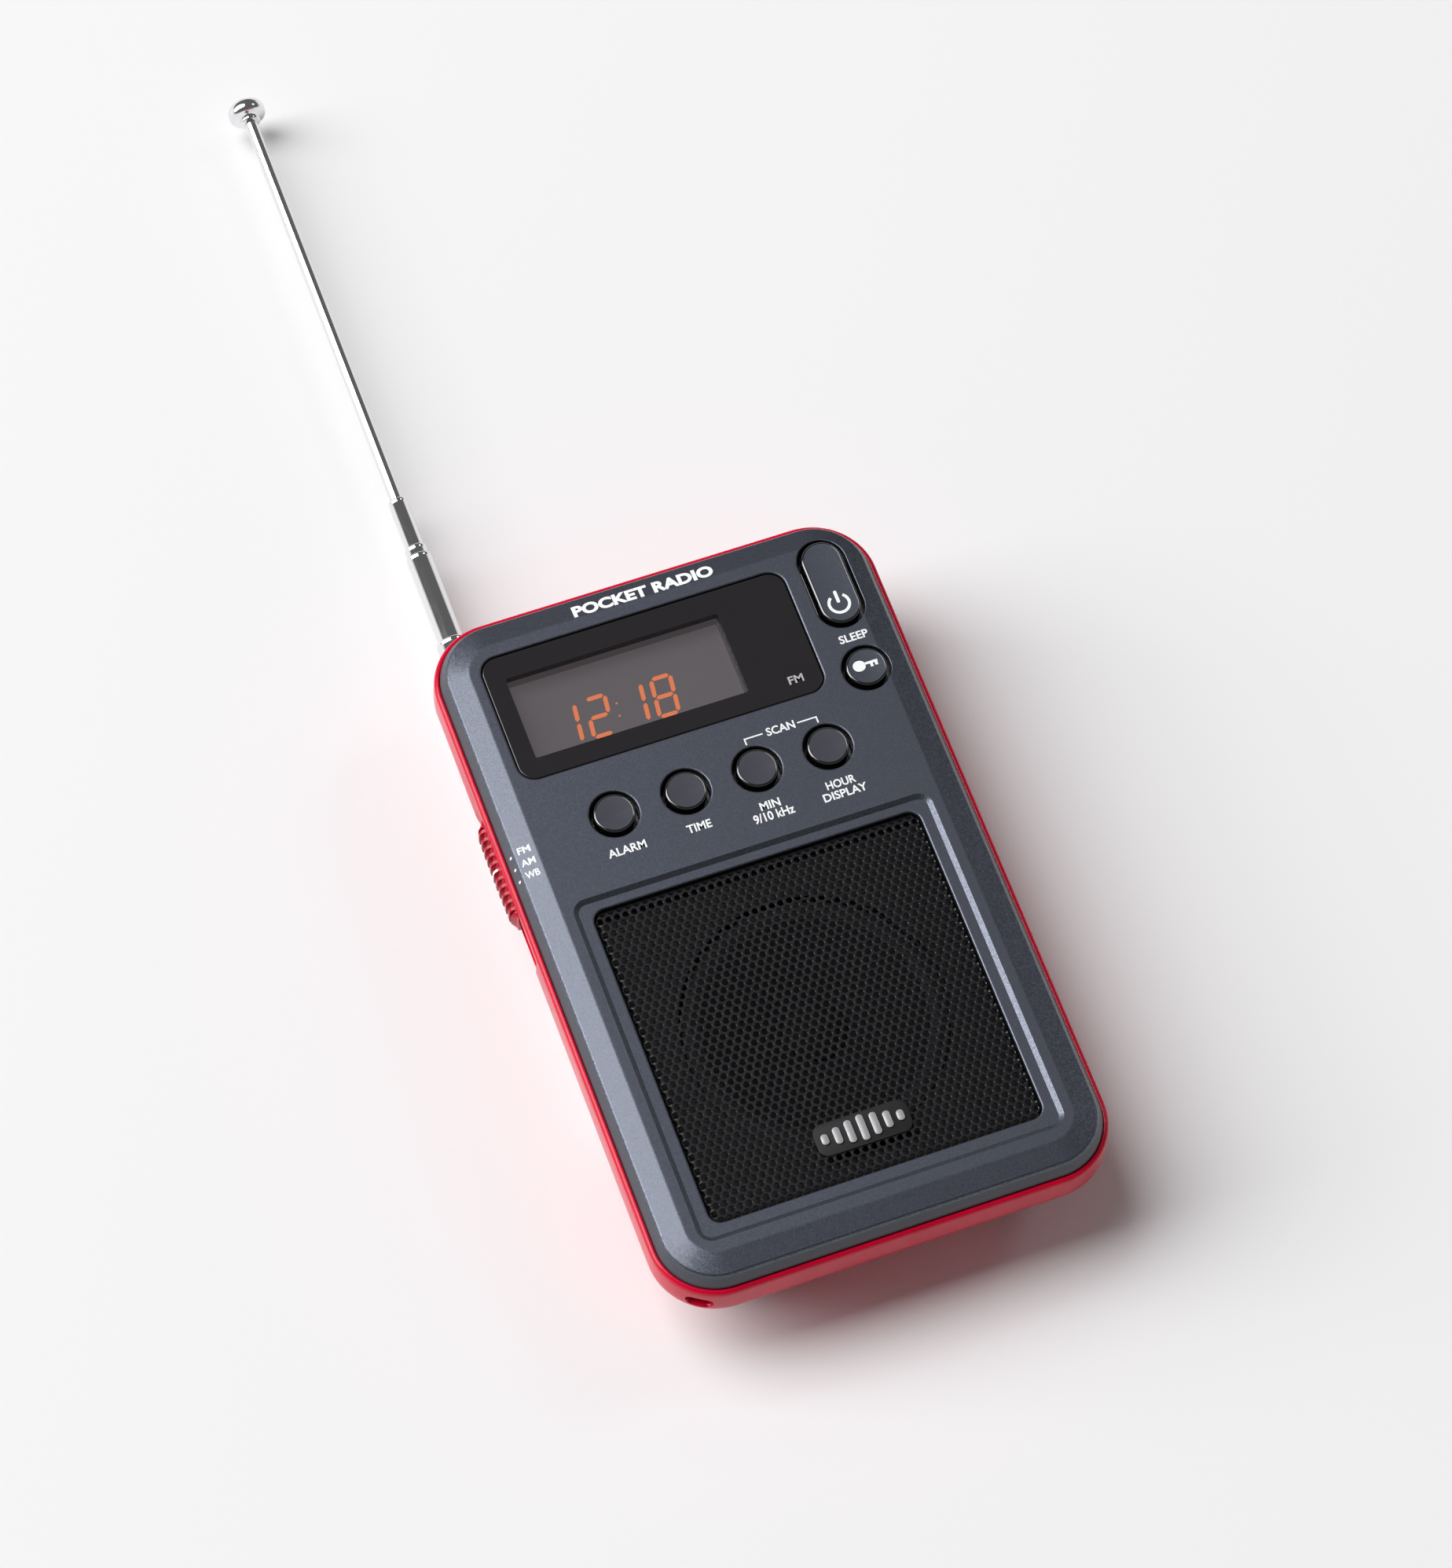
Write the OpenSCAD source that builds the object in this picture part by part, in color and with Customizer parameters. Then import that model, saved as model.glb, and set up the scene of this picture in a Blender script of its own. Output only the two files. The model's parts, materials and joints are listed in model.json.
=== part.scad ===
// Pocket radio lying on its back: +X to the right of the dial, +Y towards the aerial end,
// +Z out of the face.  The origin is the middle of the flat back.  Millimetres.

/* [Body] */
// Greatest width of the case
body_w = 63.2; // [62.8:0.1:63.6]
// Greatest length of the case
body_l = 101.9; // [101.5:0.1:102.3]
// Thickness from the flat back to the face
body_t = 20.5; // [20.3:0.1:20.7]
// Corner radius of the widest outline
corner_r = 8.95; // [8.5:0.05:9.4]
// Wall of the rear case
wall = 2; // [1.8:0.1:2.1]
// Thickness of the flat back wall
back_wall = 2.4; // [2.3:0.1:2.6]

/* [Front case] */
// Inset of the grey rim from the widest outline
rim_inset = 0.95; // [0.9:0.05:1]
// How far the steep edge of the front case leans in
edge_lean = 0.9; // [0.8:0.05:1]
// Width of the gently sloping band between the steep edge and the flat face
slope_w = 3.05; // [2.9:0.05:3.2]
// Fall of the sloping band
slope_drop = 0.6; // [0.5:0.05:0.7]
// Height of the foot of the steep edge below the face
edge_drop = 2.4; // [2.35:0.05:2.5]
// Thickness of the face plate
plate_t = 2; // [1.9:0.1:2.1]

/* [Display] */
// Width of the window in the face
window_w = 43.5; // [43:0.1:44]
// Height of the window in the face
window_h = 19.2; // [19:0.1:19.4]
// Middle of the window
window_at = [-3.45, 34.63];
// Size of the clear area in front of the display glass
lcd_view = [30.2, 12.5];
// Middle of the clear area
lcd_at = [-7.2, 34.35];

/* [Buttons] */
// Diameter of a round button hole
key_hole_d = 6.7; // [6.6:0.1:6.8]
// Gap between a button cap and its hole, all round
key_gap = 0.55; // [0.5:0.05:0.6]
// Diameter of the flat on top of a round cap
key_flat_d = 5.1; // [4.9:0.1:5.2]
// Height of a cap above the face
key_proud = 0.4; // [0.2:0.1:0.5]
// Travel of a button
key_travel = 0.4; // [0.3:0.05:0.4]
// Middle of the first button in the row of four
key_row_at = [-15.27, 16.8];
// Pitch of the row of four
key_pitch = 10.08; // [10:0.02:10.16]
// Middle of the lock button
lock_at = [24.05, 26.2];
// Middle of the long power button
power_at = [24.05, 39.78];
// Length between the round ends of the power button
power_straight = 7.15; // [6.9:0.05:7.3]

/* [Grille] */
// Width of the grille opening
grille_w = 46; // [45.8:0.1:46.2]
// Length of the grille opening
grille_l = 46.6; // [46.4:0.1:46.8]
// Middle of the opening along the case
grille_y = -18.85; // [-18.9:0.05:-18.8]
// Width of the sunk border around the opening
border_w = 2.25; // [2.1:0.05:2.3]
// Depth of the sunk border
border_drop = 0.45; // [0.3:0.05:0.5]
// Diameter of a hole in the grille
grille_hole_d = 2.4; // [2:0.1:2.6]
// Pitch of the holes in a row
grille_pitch = 3.6; // [3.5:0.1:3.8]

/* [Band switch] */
// Length of the sliding knob
knob_l = 15.2; // [14.8:0.1:15.4]
// Height of the knob
knob_h = 4; // [3.6:0.1:4.2]
// Middle of the knob in its top position
knob_at = [-31.6, 16.1, 14.2];
// How far the knob stands out of the case side
knob_proud = 0.95; // [0.7:0.05:1.1]
// Distance between two positions of the switch
band_step = 1.83; // [1.7:0.01:1.9]
// Depth of the recess that the knob slides in
recess_depth = 0.7; // [0.6:0.05:0.8]

/* [Volume and jack] */
// Diameter of the volume wheel
wheel_d = 16; // [15.6:0.1:16.2]
// Thickness of the volume wheel
wheel_t = 2.5; // [2.3:0.1:2.6]
// Axis and lower face of the volume wheel
wheel_at = [23, 20, 8];
// Bore of the earphone jack
jack_bore_d = 3.6; // [3.5:0.05:3.7]
// Axis of the earphone jack along the case and above the back
jack_at = [36.5, 10.2];

/* [Aerial] */
// Middle of the aerial across the case and above the back
aerial_at = [-24.9, 5];
// Position of the swing pivot along the case
pivot_y = -19.5; // [-19.6:0.1:-19.4]
// Position of the mouth of the outer tube
mouth_y = 55.8; // [55.5:0.1:56]
// Lengths left showing on the three sliding tubes, thick to thin
shown = [14.1, 1.5, 7.9];
// Length of the thin rod showing
rod_shown = 65.7; // [65:0.1:66]
// Outer radii: outer tube, three sliding tubes and the rod
tube_r = [2.3, 1.85, 1.6, 1.35, 0.9];
// Running gap between two tubes
tube_gap = 0.05; // [0.04:0.01:0.06]

/* [Batteries] */
// Diameter of an AAA cell
cell_d = 10.5; // [10.4:0.1:10.5]
// Length of an AAA cell with its button
cell_l = 44.5; // [44.3:0.1:44.5]
// Distance between the two cells
cell_pitch = 11.2; // [11:0.1:11.4]

/* [Loudspeaker] */
// Diameter of the loudspeaker frame
speaker_d = 40; // [39:0.5:40.5]
// Diameter of its magnet
magnet_d = 16; // [15:0.5:16]

/* [Hidden] */
$fn = 48;

eps = 0.01;
face_z = body_t;
edge_z = face_z - edge_drop;
under_plate = face_z - plate_t;
seam_z = 16;                        // foot of the front case, on the shoulder of the rear case
lip_z = edge_z - 0.5;               // top of the rear case
rim_w = body_w - 2 * rim_inset;
rim_l = body_l - 2 * rim_inset;
rim_r = corner_r - rim_inset;
flat_inset = edge_lean + slope_w;
board_z = 13.2;
board_t = 1.2;
board_top = board_z + board_t;
board_low_y = 2.5;
board_high_y = 42.8;
boss_at = [[-17.5, 8], [17.5, 8], [-18.5, -45.5], [18.5, -45.5]];
board_screw_at = [[-21.5, 21.6], [21, 11.5], [14, 34], [-24.3, 6]];
lens_drop = 0.2;
lens_t = 1.35;
shelf_z = 17.4;                     // underside of the shelf that the lens lies on
baffle_z = 17;
baffle_t = 0.6;
baffle_hole_d = 36;
grille_top = face_z - border_drop - 0.5;
grille_sheet = 0.5;
key_foot = 17.45;
key_flange = 0.6;
rebate_x = -22;                     // inner side of the step that the aerial lies in
rebate_top = 7.9;
rebate_low_y = pivot_y - 6;
bay_w = 2 * cell_d + (cell_pitch - cell_d) + 1;
bay_low = -8.6;
bay_high = 41;
bay_top = 11.8;
bay_wall = 1.2;
cell_z = 7.2;
door_w = 25.2;
door_t = 1.5;
door_low = bay_low - 1.1;
door_high = 42.1;
tongue_w = 1;
section_l = 69;                     // length of each sliding tube
nest = 0.7;                         // step between two mouths when the aerial is shut
rod_l = rod_shown + 4.3;
mouth = [mouth_y, mouth_y + shown[0], mouth_y + shown[0] + shown[1],
         mouth_y + shown[0] + shown[1] + shown[2]];
rod_top_y = mouth[3] + rod_shown;
strap_angle = 238;
strap_z = 14.5;

// Inset of the rear case's outline from the widest outline, at some heights
profile = [[0, 8.6], [0.5, 7.7], [1.5, 6.6], [3, 5.5], [10.6, 1.1], [11.6, 0.45],
           [12.8, 0], [14.5, 0], [16.6, 0.1], [lip_z, 0.3]];
function inset(z) = lookup(z, profile);
function layer_r(z, more) = corner_r - 0.4 * inset(z) - more;

// Flat rounded rectangle
module rounded(w, l, r) {
    square([w - 2 * r, l], center = true);
    square([w, l - 2 * r], center = true);
    for (x = [-1, 1], y = [-1, 1])
        translate([x * (w / 2 - r), y * (l / 2 - r)]) circle(r);
}

// Rounded block between two heights
module block(w, l, r, z0, z1, at = [0, 0]) {
    translate([at[0], at[1], z0]) linear_extrude(z1 - z0) rounded(w, l, r);
}

// Square block from its corners
module box(a, b) {
    translate(a) cube(b - a);
}

// Upright rod between two heights
module post(at, d, z0, z1) {
    translate([at[0], at[1], z0]) cylinder(h = z1 - z0, d = d);
}

// Rod along +Y between two places, on the aerial's axis
module along(r, y0, y1) {
    translate([aerial_at[0], y0, aerial_at[1]]) rotate([-90, 0, 0]) cylinder(h = y1 - y0, r = r);
}

// Round-ended slot or plain circle
module stadium(d, straight) {
    for (y = [-1, 1]) translate([0, y * straight / 2]) circle(d = d);
    if (straight > 0) square([d, straight], center = true);
}

// Points round a rounded rectangle, with a number of steps on each corner
function outline(w, l, r, steps = 8) = [
    for (q = [0:3], i = [0:steps])
        let (a = 90 * q + 90 * i / steps,
             side = [q == 0 || q == 3 ? 1 : -1, q < 2 ? 1 : -1])
        [side[0] * (w / 2 - r) + r * cos(a), side[1] * (l / 2 - r) + r * sin(a)]];

// Tapered tub through the rear case's outlines, inset by a further amount
module tub(more, from, to) {
    levels = concat([from], [for (p = profile) if (p[0] > from && p[0] < to) p[0]], [to]);
    n = len(outline(1, 1, 0.1));
    last = n * (len(levels) - 1);
    points = [for (z = levels)
              for (p = outline(body_w - 2 * (inset(z) + more), body_l - 2 * (inset(z) + more),
                               layer_r(z, more))) [p[0], p[1], z]];
    walls = [for (k = [0:len(levels) - 2], i = [0:n - 1])
             let (a = n * k + i, b = n * k + (i + 1) % n)
             each [[a, b + n, b], [a, a + n, b + n]]];
    polyhedron(points, concat([[for (i = [0:n - 1]) i]],
                              [[for (i = [n - 1:-1:0]) last + i]], walls));
}

// Thin layer with the rim's outline, inset by a distance
module rim_layer(by, z) {
    block(rim_w - 2 * by, rim_l - 2 * by, rim_r - by, z - eps, z, $fn = 32);
}

// Outside of the front case: upright foot, steep edge, gently sloping band and flat face
module face_block() {
    block(rim_w, rim_l, rim_r, seam_z, edge_z);
    hull() {
        rim_layer(0.05, edge_z);
        rim_layer(edge_lean, face_z - slope_drop);
    }
    hull() {
        rim_layer(edge_lean, face_z - slope_drop);
        rim_layer(flat_inset, face_z);
    }
}

module border_cut() {
    hull() {
        block(grille_w + 2 * border_w, grille_l + 2 * border_w, 2, face_z, face_z + 1,
              [0, grille_y], $fn = 32);
        block(grille_w + 2 * border_w - 1.2, grille_l + 2 * border_w - 1.2, 1.5,
              face_z - border_drop, face_z, [0, grille_y], $fn = 32);
    }
}

module key_opening(at, straight = 0) {
    translate([at[0], at[1], under_plate - 2]) linear_extrude(6) stadium(key_hole_d, straight);
    translate([at[0], at[1], key_foot - 0.6])
        linear_extrude(under_plate - key_foot + 0.6) stadium(key_hole_d + 1.6, straight);
}

module front_case() {
    color("slategray") {
        difference() {
            face_block();
            block(53, 92.2, 4, seam_z - 1, under_plate);
            block(57.6, 96.3, 6, seam_z - 1, shelf_z);
            block(window_w, window_h, 2.5, face_z - lens_t - lens_drop, face_z + 1, window_at);
            block(lcd_view[0] + 1.6, lcd_view[1] + 1.6, 1, shelf_z - 2, face_z, lcd_at);
            border_cut();
            block(grille_w, grille_l, 1.75, under_plate - 2, face_z + 1, [0, grille_y]);
            for (i = [0:3]) key_opening(key_row_at + [i * key_pitch, 0]);
            key_opening(lock_at);
            key_opening(power_at, power_straight);
        }
        difference() {
            block(window_w + 1.8, window_h + 1.4, 2, shelf_z, under_plate + eps, window_at);
            block(lcd_view[0] + 1.6, lcd_view[1] + 1.6, 1, shelf_z - 1, face_z, lcd_at);
            block(window_w, window_h, 2.5, face_z - lens_t - lens_drop, face_z, window_at);
        }
        difference() {
            block(grille_w + 4, grille_l + 4, 2, baffle_z, under_plate + eps, [0, grille_y]);
            block(grille_w, grille_l, 1.75, baffle_z + baffle_t, face_z, [0, grille_y]);
            post([0, grille_y], baffle_hole_d, baffle_z - 1, face_z);
        }
        for (p = boss_at) difference() {
            post(p, 4.4, 10.1, under_plate + eps);
            post(p, 2, 9, 17.1);
        }
        for (p = board_screw_at) difference() {
            post(p, 3.4, board_top, under_plate + eps);
            post(p, 1.6, board_top - 1, 17.1);
        }
    }
}

module strap_frame() {
    translate([-(body_w / 2 - corner_r), -(body_l / 2 - corner_r), strap_z])
        rotate([0, 0, strap_angle]) children();
}

// Upright pin across the strap opening
module strap_pin() {
    strap_frame() translate([corner_r - 1.9, 0, -2.2]) cylinder(h = 3.5, d = 1.2);
}

module rear_case() {
    color("crimson") difference() {
        union() {
            difference() {
                tub(0, 0, lip_z);
                difference() {
                    tub(wall, back_wall, lip_z + 1);
                    box([-40, rebate_low_y - 1.8, -1], [rebate_x + 1.8, 60, rebate_top + 1.8]);
                    strap_frame() box([corner_r - 6.4, -3.2, -2.6], [corner_r, 3.2, 2.6]);
                }
                block(rim_w + 0.2, rim_l + 0.2, rim_r + 0.1, seam_z - 0.1, lip_z + 1);
            }
            box([-bay_w / 2 - bay_wall, bay_low - bay_wall, 1],
                [bay_w / 2 + bay_wall, bay_high + bay_wall, bay_top]);
            intersection() {
                for (p = boss_at) post(p, 7, 1, 10);
                tub(0.3, 0, lip_z);
            }
            post([aerial_at[0], pivot_y], 6, rebate_top, 12);
            post([aerial_at[0], pivot_y], 5, aerial_at[1] + 1.85, rebate_top + eps);
        }
        box([-40, rebate_low_y, -1], [rebate_x, 60, aerial_at[1] + 1.85]);
        difference() {
            box([-40, rebate_low_y, 2], [rebate_x, 60, rebate_top]);
            post([aerial_at[0], pivot_y], 5, 0, 9);
        }
        post([aerial_at[0], pivot_y], 2.4, 4, 13);
        box([-bay_w / 2, bay_low, door_t], [bay_w / 2, bay_high, bay_top + 1]);
        box([-door_w / 2 - 0.15, door_low - 0.15, -1], [door_w / 2 + 0.15, 60, door_t + 0.1]);
        box([-door_w / 2 - tongue_w - 0.15, door_low - 0.15, 0.6],
            [door_w / 2 + tongue_w + 0.15, 60, door_t + 0.1]);
        for (p = boss_at) {
            post(p, 4.6, -1, p[1] > 0 ? 7.5 : 8.5);
            post(p, 2.4, 0, 11);
        }
        post([wheel_at[0], wheel_at[1]], wheel_d + 0.9, wheel_at[2] - 0.3,
             wheel_at[2] + wheel_t + 0.3);
        translate([24, jack_at[0], jack_at[1]]) rotate([0, 90, 0]) cylinder(h = 10, d = 6);
        box([-40, 2.55, 11.6], [-body_w / 2 + recess_depth, 25.3, 16.6]);
        box([-40, knob_at[1] - 2 * band_step - 2.3, 13.8], [-27, knob_at[1] + 2.3, 15.7]);
        strap_frame() box([corner_r - 4.4, -1.6, -1], [corner_r + 2, 1.6, 1]);
        strap_pin();
    }
}

module display_lens() {
    color([0.1, 0.1, 0.11]) block(window_w - 0.3, window_h - 0.3, 2.35,
        face_z - lens_t - lens_drop + 0.02, face_z - lens_drop, window_at);
}

module lcd_glass() {
    color([0.42, 0.4, 0.42]) box([-23.5, 27.4, 15.6], [9.4, 42.9, 17.2]);
}

module lcd_holder() {
    color("dimgray") difference() {
        box([-25, 25.9, board_top], [11, 43.3, 17.35]);
        box([-23.55, 27.3, board_top - 1], [9.45, 43, 18]);
        box([-22, 26.2, board_top - 1], [8, 28, 15.55]);
    }
}

module lcd_backlight() {
    color("white") box([-23.3, 28.2, board_top + 0.1], [9.2, 42.8, 15.5]);
}

module zebra_strip() {
    color("hotpink") box([-21.5, 26.4, board_top], [7.5, 27.8, 15.55]);
}

// The face of the grille with its rows of staggered holes, and its folded edge
module speaker_grille() {
    nx = floor((grille_w - 6) / grille_pitch);
    row = grille_pitch * 0.866;
    ny = floor((grille_l - 5) / row);
    color([0.12, 0.12, 0.13]) difference() {
        block(grille_w - 0.2, grille_l - 0.2, 1.65, baffle_z + baffle_t, grille_top,
              [0, grille_y]);
        block(grille_w - 1.2, grille_l - 1.2, 1.15, baffle_z, grille_top - grille_sheet,
              [0, grille_y]);
        for (j = [0:ny]) for (i = [0:nx - (j % 2)])
            post([(i - (nx - (j % 2)) / 2) * grille_pitch, grille_y + (j - ny / 2) * row],
                 grille_hole_d, baffle_z, face_z, $fn = 24);
    }
}

module grille_badge() {
    color("silver") block(13, 4.6, 0.8, grille_top, grille_top + 0.5, [0, -35.85]);
}

module speaker_gasket() {
    color("black") difference() {
        post([0, grille_y], speaker_d, 16.6, baffle_z);
        post([0, grille_y], speaker_d - 4, 16, 18);
    }
}

// Turned shape about the loudspeaker's axis
module turned(points) {
    translate([0, grille_y, 0]) rotate_extrude() polygon(points);
}

module speaker_frame() {
    r = speaker_d / 2;
    color("gray") difference() {
        union() {
            turned([[5, 12.5], [9.5, 12.5], [r - 2.5, 15.3], [r, 15.3], [r, 16.6],
                    [r - 2.2, 16.6], [r - 2.2, 16], [r - 3.5, 16], [9.2, 13.3], [5, 13.3]]);
            box([-4, -2.6, 14.2], [4, -0.4, 15.31]);
        }
        for (a = [45:90:315]) translate([0, grille_y, 14]) rotate([0, 0, a])
            translate([13.2, 0, 0]) cube([4, 5, 6], center = true);
    }
}

module speaker_magnet() {
    color("silver") post([0, grille_y], magnet_d, 8, 12.5);
}

module voice_coil() {
    color("peru") difference() {
        post([0, grille_y], 8.6, 12.6, 14.3);
        post([0, grille_y], 8, 12, 15);
    }
}

module speaker_cone() {
    color("black") turned([[4.35, 13.9], [15, 16.2], [15, 16.5], [4.35, 14.3]]);
}

module speaker_surround() {
    color("dimgray") turned([[15.05, 16.1], [17.6, 16.1], [17.6, 16.55], [16.3, 16.9],
                             [15.05, 16.55]]);
}

module speaker_dust_cap() {
    color("black") turned([[0, 15.6], [2.6, 15.2], [4.3, 14.35], [4.3, 14.65], [2.6, 15.5],
                           [0, 15.9]]);
}

module main_board() {
    color("seagreen") difference() {
        block(57, board_high_y - board_low_y, 3, board_z, board_top,
              [0, (board_low_y + board_high_y) / 2]);
        for (p = boss_at) post(p, 5, board_z - 1, board_top + 1);
        for (p = board_screw_at) post(p, 2.2, board_z - 1, board_top + 1);
        box([-40, knob_at[1] - 2 * band_step - 2.6, board_z - 1], [-28, knob_at[1] + 2.6, 15]);
    }
}

module key_switch(at) {
    translate([at[0], at[1], board_top + 1.1]) cube([6, 6, 2.2], center = true);
    post(at, 3, board_top + 2.2, 17);
}

module key_switches() {
    color("lightgray") {
        for (i = [0:3]) key_switch(key_row_at + [i * key_pitch, 0]);
        key_switch(lock_at);
        key_switch(power_at);
    }
}

module chip(at, size) {
    box([at[0] - size[0] / 2, at[1] - size[1] / 2, board_z - size[2]],
        [at[0] + size[0] / 2, at[1] + size[1] / 2, board_z]);
}

module tuner_chip() { color([0.15, 0.15, 0.16]) chip([-18, 30], [5, 5, 0.5]); }
module clock_chip() { color([0.15, 0.15, 0.16]) box([-3, 20.2, board_top], [5, 25.2, 15.4]); }
module amplifier_chip() { color([0.15, 0.15, 0.16]) chip([15, 39.6], [4, 4, 0.6]); }

module capacitors() {
    color("midnightblue") for (p = [[-16, 17.5], [-16, 23.5], [-16, 37]])
        post(p, 4.2, board_z - 5.5, board_z);
}

module clock_crystal() {
    color("silver") translate([10, 22.3, board_top + 0.9]) rotate([0, 90, 0])
        cylinder(h = 6, d = 1.8);
}

module ferrite_bar(r, x0, x1) {
    translate([x0, 46, 13.6]) rotate([0, 90, 0]) cylinder(h = x1 - x0, r = r);
}

module ferrite_rod() { color([0.2, 0.2, 0.22]) ferrite_bar(2.3, -20, 20); }

module ferrite_coil() {
    color("peru") difference() {
        ferrite_bar(2.55, -8, 6);
        ferrite_bar(2.3, -9, 7);
    }
}

module ferrite_clips() {
    color("ivory") for (x = [-17, 15]) difference() {
        union() {
            box([x, board_high_y + 0.05, 12.9], [x + 2, 44, board_top - 0.05]);
            box([x, 43.4, 12.9], [x + 2, 46, 17.35]);
        }
        ferrite_bar(2.3, x - 1, x + 3);
    }
}

module band_switch() {
    y0 = knob_at[1] - band_step;
    color("silver") difference() {
        box([-27.9, y0 - 5.2, board_top], [-24, y0 + 5.2, 17.2]);
        box([-28, y0 - 3.2, board_top - 1], [-26.2, y0 + 3.2, 16.2]);
    }
}

module volume_control() {
    at = [wheel_at[0], wheel_at[1]];
    z0 = wheel_at[2] + wheel_t + 0.3;
    color("saddlebrown") difference() {
        post(at, 10, z0, board_z);
        post(at, 3.1, z0 - 1, board_z - 0.2);
    }
}

module earphone_jack() {
    color([0.16, 0.16, 0.17]) translate([0, jack_at[0], jack_at[1]]) difference() {
        union() {
            box([17.5, -3.3, -2.9], [26.3, 3.3, 2.9]);
            translate([26.3, 0, 0]) rotate([0, 90, 0]) cylinder(h = 3.5, d = 5.6);
        }
        translate([18.8, 0, 0]) rotate([0, 90, 0]) cylinder(h = 12, d = jack_bore_d);
    }
}

// One AAA cell along +Y with its button end up, from the given lower end
module cell(x, y, up) {
    translate([x, y + cell_l / 2, cell_z]) rotate([up ? -90 : 90, 0, 0]) {
        translate([0, 0, -cell_l / 2]) cylinder(h = cell_l - 0.9, d = cell_d);
        translate([0, 0, cell_l / 2 - 0.91]) cylinder(h = 0.91, d = 3.6);
    }
}

module battery_left() { color("goldenrod") cell(-cell_pitch / 2, bay_high - 0.5 - cell_l, true); }
module battery_right() { color("goldenrod") cell(cell_pitch / 2, bay_low + 0.5, false); }

// Cone-shaped contact spring as rings of wire
module contact_spring(x, y0, y1) {
    turns = 4;
    for (i = [0:turns - 1])
        translate([x, y0 + (y1 - y0) * (i + 0.5) / turns, cell_z]) rotate([90, 0, 0])
            rotate_extrude($fn = 24) translate([3.6 - 0.5 * i, 0]) circle(d = 0.9, $fn = 16);
    translate([x - 0.3, y0 + 0.05, cell_z - 2.3]) cube([0.6, y1 - y0 - 0.1, 0.6]);
}

module battery_springs() {
    color("silver") {
        contact_spring(-cell_pitch / 2, bay_low + 0.5, bay_low + 4.6);
        mirror([0, 1, 0]) contact_spring(cell_pitch / 2, -(bay_high - 0.5), -(bay_high - 4.6));
    }
}

module battery_plates() {
    color("silver") {
        box([-10.2, bay_low, 3], [10.2, bay_low + 0.5, 11.4]);
        for (s = [-1, 1]) {
            x = s * cell_pitch / 2;
            box([x - 4.4, bay_high - 0.5, 3], [x + 4.4, bay_high, 11.4]);
        }
    }
}

module hookup_wires() {
    color("red") for (x = [-2.5, 2.5])
        translate([x, -0.4, 14.85]) rotate([-90, 0, 0]) cylinder(h = 5, d = 0.8);
}

module case_screw(at, seat) {
    post(at, 3.9, seat - 1.4, seat);
    post(at, 2, seat - eps, seat + 8);
}

module case_screws() { color("silver") for (p = boss_at) case_screw(p, p[1] > 0 ? 7.5 : 8.5); }

module board_screws() {
    color("silver") for (p = board_screw_at) {
        post(p, 3.2, board_z - 1, board_z);
        post(p, 1.6, board_z - eps, 17);
    }
}

module lanyard_pin() {
    color("silver") strap_pin();
}

module aerial_contact() {
    color("silver") difference() {
        box([aerial_at[0] - 3.5, pivot_y - 3.5, 12], [aerial_at[0] + 3.5, pivot_y + 7, 12.4]);
        post([aerial_at[0], pivot_y], 2.4, 11, 13);
    }
}

module aerial_screw() {
    color("silver") {
        post([aerial_at[0], pivot_y], 4.4, 1.3, aerial_at[1] - 1.85);
        post([aerial_at[0], pivot_y], 2.4, aerial_at[1] - 1.9, 12.9);
    }
}

// Cap of a button: bevelled top, straight sides and a flange under the face plate
module key_cap(at, straight = 0) {
    d = key_hole_d - 2 * key_gap;
    top = face_z + key_proud;
    bevel = (d - key_flat_d) / 2;
    translate([at[0], at[1], 0]) {
        hull() {
            translate([0, 0, top - bevel]) linear_extrude(eps) stadium(d, straight, $fn = 32);
            translate([0, 0, top - eps]) linear_extrude(eps)
                stadium(key_flat_d, straight, $fn = 32);
        }
        translate([0, 0, key_foot]) linear_extrude(top - bevel - key_foot + eps)
            stadium(d, straight);
        translate([0, 0, key_foot]) linear_extrude(key_flange)
            stadium(key_hole_d + 0.9, straight);
    }
}

module power_button() { color("slategray") key_cap(power_at, power_straight); }
module lock_button() { color("slategray") key_cap(lock_at); }
module alarm_button() { color([0.2, 0.2, 0.22]) key_cap(key_row_at); }
module time_button() { color([0.2, 0.2, 0.22]) key_cap(key_row_at + [key_pitch, 0]); }
module scan_down_button() { color([0.2, 0.2, 0.22]) key_cap(key_row_at + [2 * key_pitch, 0]); }
module scan_up_button() { color([0.2, 0.2, 0.22]) key_cap(key_row_at + [3 * key_pitch, 0]); }

module band_knob() {
    out = knob_at[0] - knob_proud;
    base = knob_at[0] + recess_depth - 0.15;
    color("firebrick") difference() {
        union() {
            box([out, knob_at[1] - 6, knob_at[2] - knob_h / 2 + 0.6],
                [base, knob_at[1] + 6, knob_at[2] + knob_h / 2 - 0.6]);
            box([knob_at[0], knob_at[1] - knob_l / 2, knob_at[2] - knob_h / 2],
                [base, knob_at[1] + knob_l / 2, knob_at[2] + knob_h / 2]);
            box([base - eps, knob_at[1] - 2, 14], [-29.2, knob_at[1] + 2, 15.5]);
        }
        for (i = [-5:4])
            box([out - 1, knob_at[1] + i * 1.2 + 0.25, knob_at[2] - 3],
                [out + 0.6, knob_at[1] + i * 1.2 + 0.95, knob_at[2] + 3]);
    }
}

module band_lever() {
    color("black") box([-29.2, knob_at[1] - 1, 14.6], [-26.4, knob_at[1] + 1, 15.4]);
}

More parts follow.
